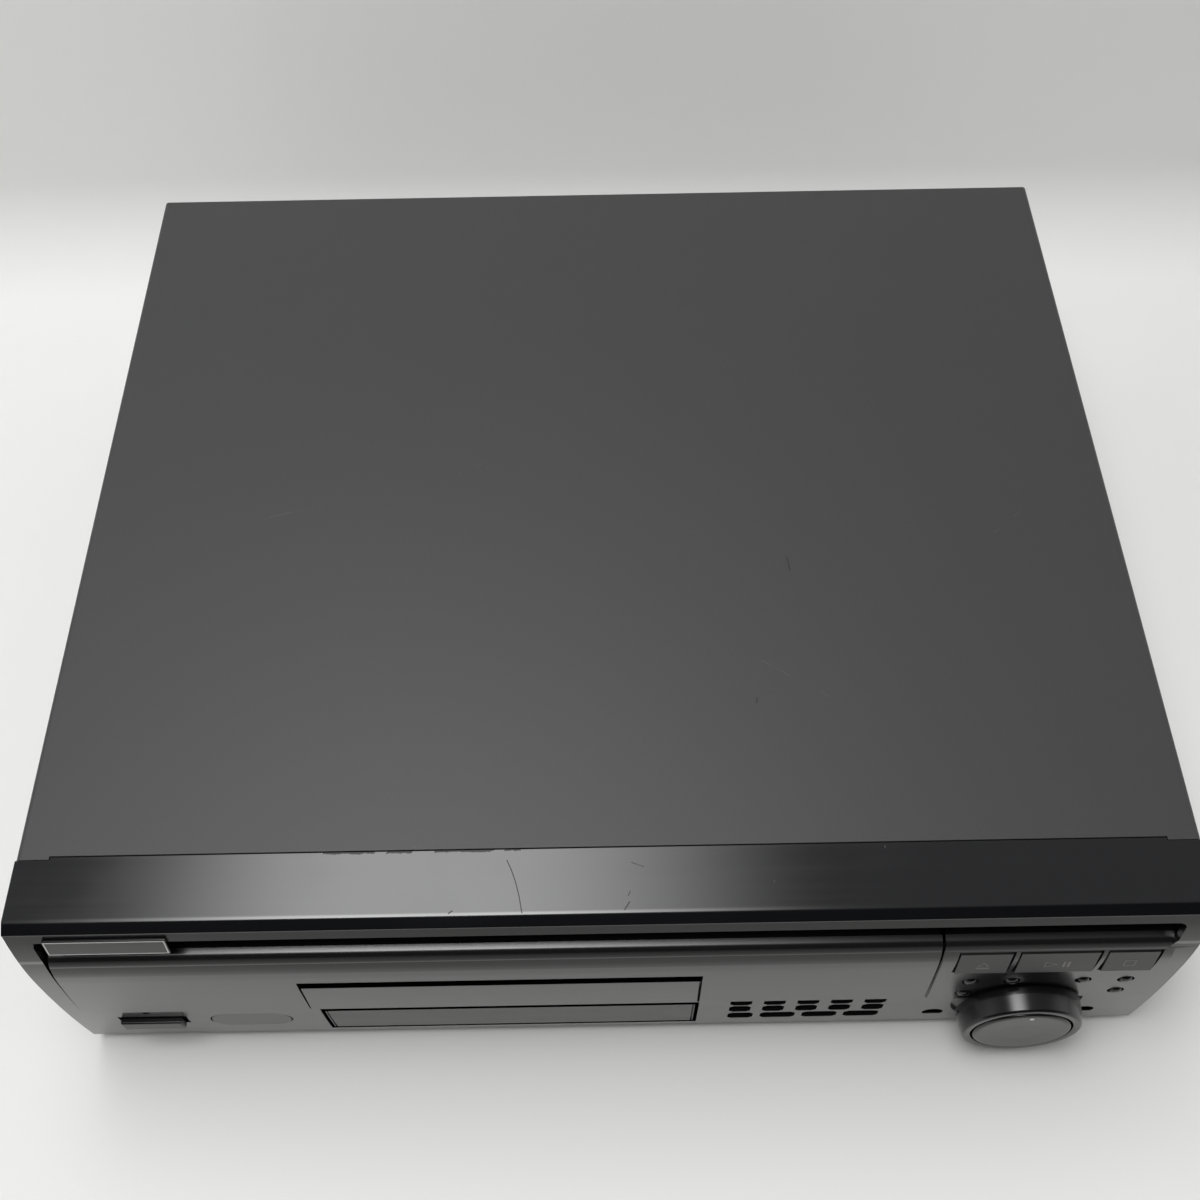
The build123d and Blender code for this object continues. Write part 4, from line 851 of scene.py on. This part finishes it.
class DISC_OT_front_details(bpy.types.Operator):
    """Makes the window, the blank plates, the lamp and the power button"""

    bl_idname = "disc.front_details"
    bl_label = "Front details"

    def execute(self, context):
        edge = context.scene.player_look.edge_round
        for node in ("display_window", "badge_plate"):
            rounded_copy(node, edge, curved=True)
        rounded_copy("power_button", 0.25 * MM)
        # painted shade: the side buttons get the unlit black, standing in for the shade in their pockets
        for node in ("side_button_left", "side_button_right"):
            rounded_copy(node, 0.25 * MM, finish="painted_shade_black")
        rounded_copy("blanking_plate", 0.2 * MM, finish="front_plastic")
        rim_piece("badge_rim", "badge_plate", 0.35 * MM, 0.45 * MM, 1.24 * MM, "bright_rim")
        self.make_window_shade_band()
        self.make_plate_shade_ring()
        dome = softened([(0, -182.4), (0.8, -182.2), (1.1, -181.6), (1.1, -180)], 0.4)
        dome += [(1.1, -178), (0, -178)]
        lamp = front_turned("standby_led_finished", -180.2 * MM, 39 * MM, dome, 24)
        finish_piece(lamp, "standby_led")
        return {"FINISHED"}

    @staticmethod
    def make_window_shade_band():
        """Painted shade: black band round the edges of the display window, wide along its top, standing in for the
        shade in its joint.
        """
        low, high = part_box("display_window")
        outer = [(low[0], low[2]), (high[0], low[2]), (high[0], high[2]), (low[0], high[2])]
        side, bottom, top = 1 * MM, 1.3 * MM, 3 * MM
        inner = [
            (low[0] + side, low[2] + bottom),
            (high[0] - side, low[2] + bottom),
            (high[0] - side, high[2] - top),
            (low[0] + side, high[2] - top),
        ]
        verts, faces = band(*(divided(outline, 6) for outline in (outer, inner)))
        points = [(x, front_face(z) - 0.04 * MM, z) for x, z in verts]
        thin_piece("window_joint", points, faces, "case", "painted_shade_black")

    @staticmethod
    def make_plate_shade_ring():
        """Painted shade: fine black ring in the joint round the oval blanking plate."""
        low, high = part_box("blanking_plate")
        radius = (high[2] - low[2]) / 2
        middle = (high[2] + low[2]) / 2
        rings = []
        for size in (radius, radius - 0.5 * MM):
            ring = []
            for i in range(48):
                turn = 2 * math.pi * (i + 0.5) / 48
                centre = high[0] - radius if math.cos(turn) > 0 else low[0] + radius
                ring.append((centre + size * math.cos(turn), middle + size * math.sin(turn)))
            rings.append(ring)
        verts, faces = band(*rings)
        points = [(x, front_face(z) + 0.25 * MM, z) for x, z in verts]
        thin_piece("plate_joint", points, faces, "case", "painted_shade_black")


class DISC_OT_keys(bpy.types.Operator):
    """Makes the keys with their printed signs and the small round buttons"""

    bl_idname = "disc.keys"
    bl_label = "Keys and buttons"

    def execute(self, context):
        edge = context.scene.player_look.edge_round
        for node in ("open_key", "play_key", "stop_key"):
            rounded_copy(node, edge, finish="key_plastic")
        triangle = [(-2.4, -1.1), (2.4, -1.1), (0, 2.2)]
        bar = [(-2.4, -2.6), (2.4, -2.6), (2.4, -1.9), (-2.4, -1.9)]
        arrow = [(-4.4, -2.1), (0.4, 0), (-4.4, 2.1)]
        pauses = [[(x, -2.1), (x + 0.8, -2.1), (x + 0.8, 2.1), (x, 2.1)] for x in (2.2, 3.9)]
        square = [(-2.1, -2.1), (2.1, -2.1), (2.1, 2.1), (-2.1, 2.1)]
        signs = {
            "open_key": ([triangle], [bar]),
            "play_key": ([arrow], pauses),
            "stop_key": ([square], []),
        }
        for node, (open_signs, full_signs) in signs.items():
            verts, faces = [], []
            for outline in open_signs:
                self.add(verts, faces, *band(outline, shrunk(outline, 0.35)))
            for outline in full_signs:
                self.add(verts, faces, *band(outline))
            low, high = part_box(node)
            middle = (low[0] + high[0]) / 2
            sign_height = 80 * MM
            points = []
            for u, v in verts:
                z = sign_height + v * MM
                points.append((middle + u * MM, self.key_face(z), z))
            thin_piece(node + "_print", points, faces, node, "print_ink")
        for node in frame["nodes"]:
            if node.endswith("_button") and node != "power_button":
                self.make_button(node)
        return {"FINISHED"}

    @staticmethod
    def add(verts, faces, new_verts, new_faces):
        """Adds one sign's flat faces to the rest."""
        start = len(verts)
        verts += new_verts
        faces += [tuple(i + start for i in face) for face in new_faces]

    @staticmethod
    def key_face(z):
        """Y of the keys' leaning face at height z."""
        return (-185.34 + (z / MM - 74) / 9) * MM

    @staticmethod
    def make_button(node):
        """Round button with a soft edge on its stem."""
        low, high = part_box(node)
        x, z = (low[0] + high[0]) / 2, (low[2] + high[2]) / 2
        tip, stem = low[1] / MM, high[1] / MM
        edge = softened([(0, tip), (1.5, tip + 0.1), (2.6, tip + 1.2), (2.6, tip + 3.6)], 0.7, 4)
        profile = edge + [(1.6, tip + 3.6), (1.6, stem), (0, stem)]
        finish_piece(front_turned(node + "_finished", x, z, profile, 32), node)


class DISC_OT_knob(bpy.types.Operator):
    """Makes the shuttle ring and the jog dial with its white dot"""

    bl_idname = "disc.knob"
    bl_label = "Knob"

    def execute(self, context):
        side = [(5.2, -184.7), (23.7, -184.7), (23.7, -187.5), (22.8, -193.7), (22.2, -194.5)]
        side += [(19.4, -194.3), (19.4, -188.4)]
        ring = [(3.4, -188.4), (3.4, -174.7), (5.2, -174.7), *softened(side, 0.5, 4), (3.4, -188.4)]
        face = [(0, -194.55), (9, -194.65), (17.6, -194.95), (18.7, -194.5), (18.9, -189)]
        dial = softened(face, 0.6, 4) + [(3, -189), (3, -170), (0, -170)]
        for node, profile in (("shuttle_ring", ring), ("jog_dial", dial)):
            finish_piece(front_turned(node + "_finished", KNOB_X, KNOB_Z, profile, 128), node)
        dot = softened([(0, -195.1), (0.8, -195.05), (0.95, -194.6)], 0.3) + [(0, -194.6)]
        piece = front_turned("jog_dot", KNOB_X + 0.5 * MM, KNOB_Z + 15.2 * MM, dot, 20)
        carried(piece, "jog_dial", "white_paint")
        return {"FINISHED"}


class DISC_OT_rear(bpy.types.Operator):
    """Makes the screws, the sockets' sleeves, the inlet and the feet"""

    bl_idname = "disc.rear"
    bl_label = "Screws and sockets"

    def execute(self, context):
        rounded_copy("ac_inlet", 0.35 * MM)
        rounded_copy("feet", 0.5 * MM)
        rounded_copy("disc_tray", 0.35 * MM)
        sides = [((side * 210, y, 22), (side, 0, 0)) for side in (-1, 1) for y in (-118, 150)]
        rear = [((x, 192.3, 111), (0, 1, 0)) for x in (-190, 0, 190)]
        head = self.screw_head()
        screws = scattered("cover_screws_finished", head, sides + rear, finishes["screw_black"], 1.0, 7)
        finish_piece(screws, "cover_screws")
        line = softened([(3.3, 6.2), (3.3, 7.43), (4.22, 7.43), (4.22, 0)], 0.2)
        sleeve = upright_turned("sleeve", line + [(3.3, 0), line[0]], 32)
        places = [((x, 187.6, z), (0, 1, 0)) for z in (66, 48) for x in (-178, -162, -146, -130)]
        sleeves = scattered("jack_sleeves", sleeve, places, finishes["motor_steel"], 1.0, 3)
        carried(sleeves, "case", "motor_steel")
        return {"FINISHED"}

    @staticmethod
    def screw_head():
        """Domed screw with a cross recess, along Z from the sheet's face."""
        top = softened([(0, 2), (1.9, 1.95), (3.1, 1.2), (3.6, 0)], 0.7, 4)
        head = upright_turned("screw_head", top + [(1.45, 0), (1.45, -4), (0, -4)], 32)
        cutters = []
        for wide, deep in ((3.4, 0.75), (0.75, 3.4)):
            bm = bmesh.new()
            bmesh.ops.create_cube(bm, size=1)
            for vert in bm.verts:
                narrow = 1 if vert.co.z > 0 else 0.62
                vert.co.x *= wide * narrow * MM
                vert.co.y *= deep * narrow * MM
                vert.co.z = (2.6 if vert.co.z > 0 else 0.7) * MM
            cutter_mesh = bpy.data.meshes.new("recess")
            bm.to_mesh(cutter_mesh)
            bm.free()
            cutter = link("recess", cutter_mesh)
            cut = head.modifiers.new("recess", "BOOLEAN")
            cut.object = cutter
            cut.operation = "DIFFERENCE"
            cutters.append(cutter)
        evaluated(head)
        head.data.set_sharp_from_angle(angle=SHARP_ANGLE)
        for cutter in cutters:
            bpy.data.objects.remove(cutter)
        return head


class DISC_OT_stage(bpy.types.Operator):
    """Makes the floor, the backdrop, the lights and the camera"""

    bl_idname = "disc.stage"
    bl_label = "Studio"

    def execute(self, context):
        look = context.scene.stage_look
        self.make_floor(look)
        self.make_light(look)
        self.make_camera(context, look)
        return {"FINISHED"}

    def make_floor(self, look):
        """Floor that sweeps up behind the player."""
        wall_start, sweep, wall_top = 0.31, 0.06, 0.42
        lean = 0.35
        profile = [(-4.0, 0.0), (wall_start - sweep, 0.0)]
        upright = math.pi / 2 - lean
        for i in range(1, 13):
            turn = i / 12 * upright
            profile.append((wall_start - sweep + sweep * math.sin(turn), sweep - sweep * math.cos(turn)))
        rise = wall_top - profile[-1][1]
        profile.append((profile[-1][0] + rise * math.tan(lean), wall_top))
        mesh = bpy.data.meshes.new("floor")
        verts = [(x, y, z) for x in (-4, 4) for y, z in profile]
        count = len(profile)
        faces = [(i, i + count, i + count + 1, i + 1) for i in range(count - 1)]
        start = len(verts)
        verts += [(x, y, 0) for x, y in ((-4, profile[1][0]), (4, profile[1][0]), (4, 4), (-4, 4))]
        faces.append(tuple(range(start, start + 4)))
        mesh.from_pydata(verts, [], faces)
        mesh.shade_smooth()
        floor = link("floor", mesh)
        finish = Finish("floor_white", look.floor_colour, 0.75, Specular_IOR_Level=0.2)
        cloud = finish.noise(1.3, 3)
        finish.use(Base_Color=finish.shade(0.97 + 0.06 * cloud))
        clear = finish.node("ShaderNodeBsdfTransparent")
        back = finish.node("ShaderNodeNewGeometry", output="Backfacing")
        front = Value(finish, finish.shader.outputs[0])
        mixed = finish.node("ShaderNodeMixShader", None, {0: back, 1: front, 2: clear})
        output = finish.tree.nodes["Material Output"]
        finish.tree.links.new(mixed.socket, output.inputs["Surface"])
        mesh.materials.append(finish.material)

    def make_light(self, look):
        """Even sky and one large soft lamp over the back of the player."""
        world = bpy.data.worlds.new("studio")
        world.use_nodes = True
        sky = Shading(world.node_tree, "ShaderNodeTexCoord", "Generated")
        _, y, z = sky.axes()
        before = (0 - y).step(0.05, 0.45) * (1 - z.step(0.8, 0.97))
        around = look.wall_level - (look.wall_level - look.sky_level) * z.step(0.35, 0.8)
        level = around * (1 - before) + look.room_level * before
        background = world.node_tree.nodes["Background"]
        world.node_tree.links.new(level.socket, background.inputs["Strength"])
        background.inputs["Color"].default_value = (1, 1, 1, 1)
        bpy.context.scene.world = world
        data = bpy.data.lights.new("lamp", "AREA")
        data.shape = "RECTANGLE"
        data.size = look.lamp_width
        data.size_y = look.lamp_depth
        data.energy = look.lamp_level * math.pi * look.lamp_width * look.lamp_depth
        data.use_nodes = True
        glow = Shading(data.node_tree, "ShaderNodeNewGeometry", "Parametric")
        across, along, _ = glow.axes()
        sides = across.step(0, 0.38) * (1 - across.step(0.545, 1))
        soft = sides * along.step(0, 0.1) * (1 - along.step(0.9, 1))
        soft = soft * (1 + 0.9 * (1 - along.step(0.3, 0.65)))
        emission = data.node_tree.nodes["Emission"]
        data.node_tree.links.new(soft.socket, emission.inputs["Strength"])
        lamp = bpy.data.objects.new("lamp", data)
        lamp.location = look.lamp_place
        bpy.context.scene.collection.objects.link(lamp)

    def make_camera(self, context, look):
        """Camera at the photograph's place."""
        data = bpy.data.cameras.new("camera")
        data.lens = look.lens
        data.sensor_width = 36
        camera = bpy.data.objects.new("camera", data)
        camera.location = CAMERA_PLACE
        camera.rotation_euler = [math.radians(a) for a in CAMERA_TURN]
        context.scene.collection.objects.link(camera)
        context.scene.camera = camera
        context.scene.view_settings.view_transform = "Standard"


class DISC_OT_materials(bpy.types.Operator):
    """Gives every CAD node that stays its own finish"""

    bl_idname = "disc.materials"
    bl_label = "Materials"

    def execute(self, context):
        for node, piece in frame["nodes"].items():
            for i in range(len(piece.material_slots)):
                piece.material_slots[i].material = finishes[slot_of(node)]
        return {"FINISHED"}


class DISC_PT_panel(bpy.types.Panel):
    """Lists the player's settings and steps"""

    bl_idname = "DISC_PT_panel"
    bl_label = "Disc player"
    bl_space_type = "VIEW_3D"
    bl_region_type = "UI"
    bl_category = "Disc player"

    def draw(self, context):
        for look in (context.scene.player_look, context.scene.stage_look):
            for name in look.bl_rna.properties.keys():
                if name not in ("rna_type", "name"):
                    self.layout.prop(look, name)
        for step in STEPS:
            self.layout.operator(step.bl_idname)


STEPS = (
    DISC_OT_stage,
    DISC_OT_materials,
    DISC_OT_shell,
    DISC_OT_front_details,
    DISC_OT_keys,
    DISC_OT_knob,
    DISC_OT_rear,
)
CLASSES = (PlayerLook, StageLook, *STEPS, DISC_PT_panel)
finishes = {}


def register():
    """Adds the classes and the scene's settings."""
    for item in CLASSES:
        bpy.utils.register_class(item)
    bpy.types.Scene.player_look = PointerProperty(type=PlayerLook)
    bpy.types.Scene.stage_look = PointerProperty(type=StageLook)


def unregister():
    """Takes them away again."""
    del bpy.types.Scene.stage_look
    del bpy.types.Scene.player_look
    for item in reversed(CLASSES):
        bpy.utils.unregister_class(item)


def main():
    """Builds the whole scene."""
    register()
    finishes.update(build_finishes(bpy.context.scene.player_look))
    bpy.ops.disc.stage()
    bpy.ops.disc.materials()
    bpy.ops.disc.shell()
    bpy.ops.disc.front_details()
    bpy.ops.disc.keys()
    bpy.ops.disc.knob()
    bpy.ops.disc.rear()


if __name__ == "__main__":
    main()
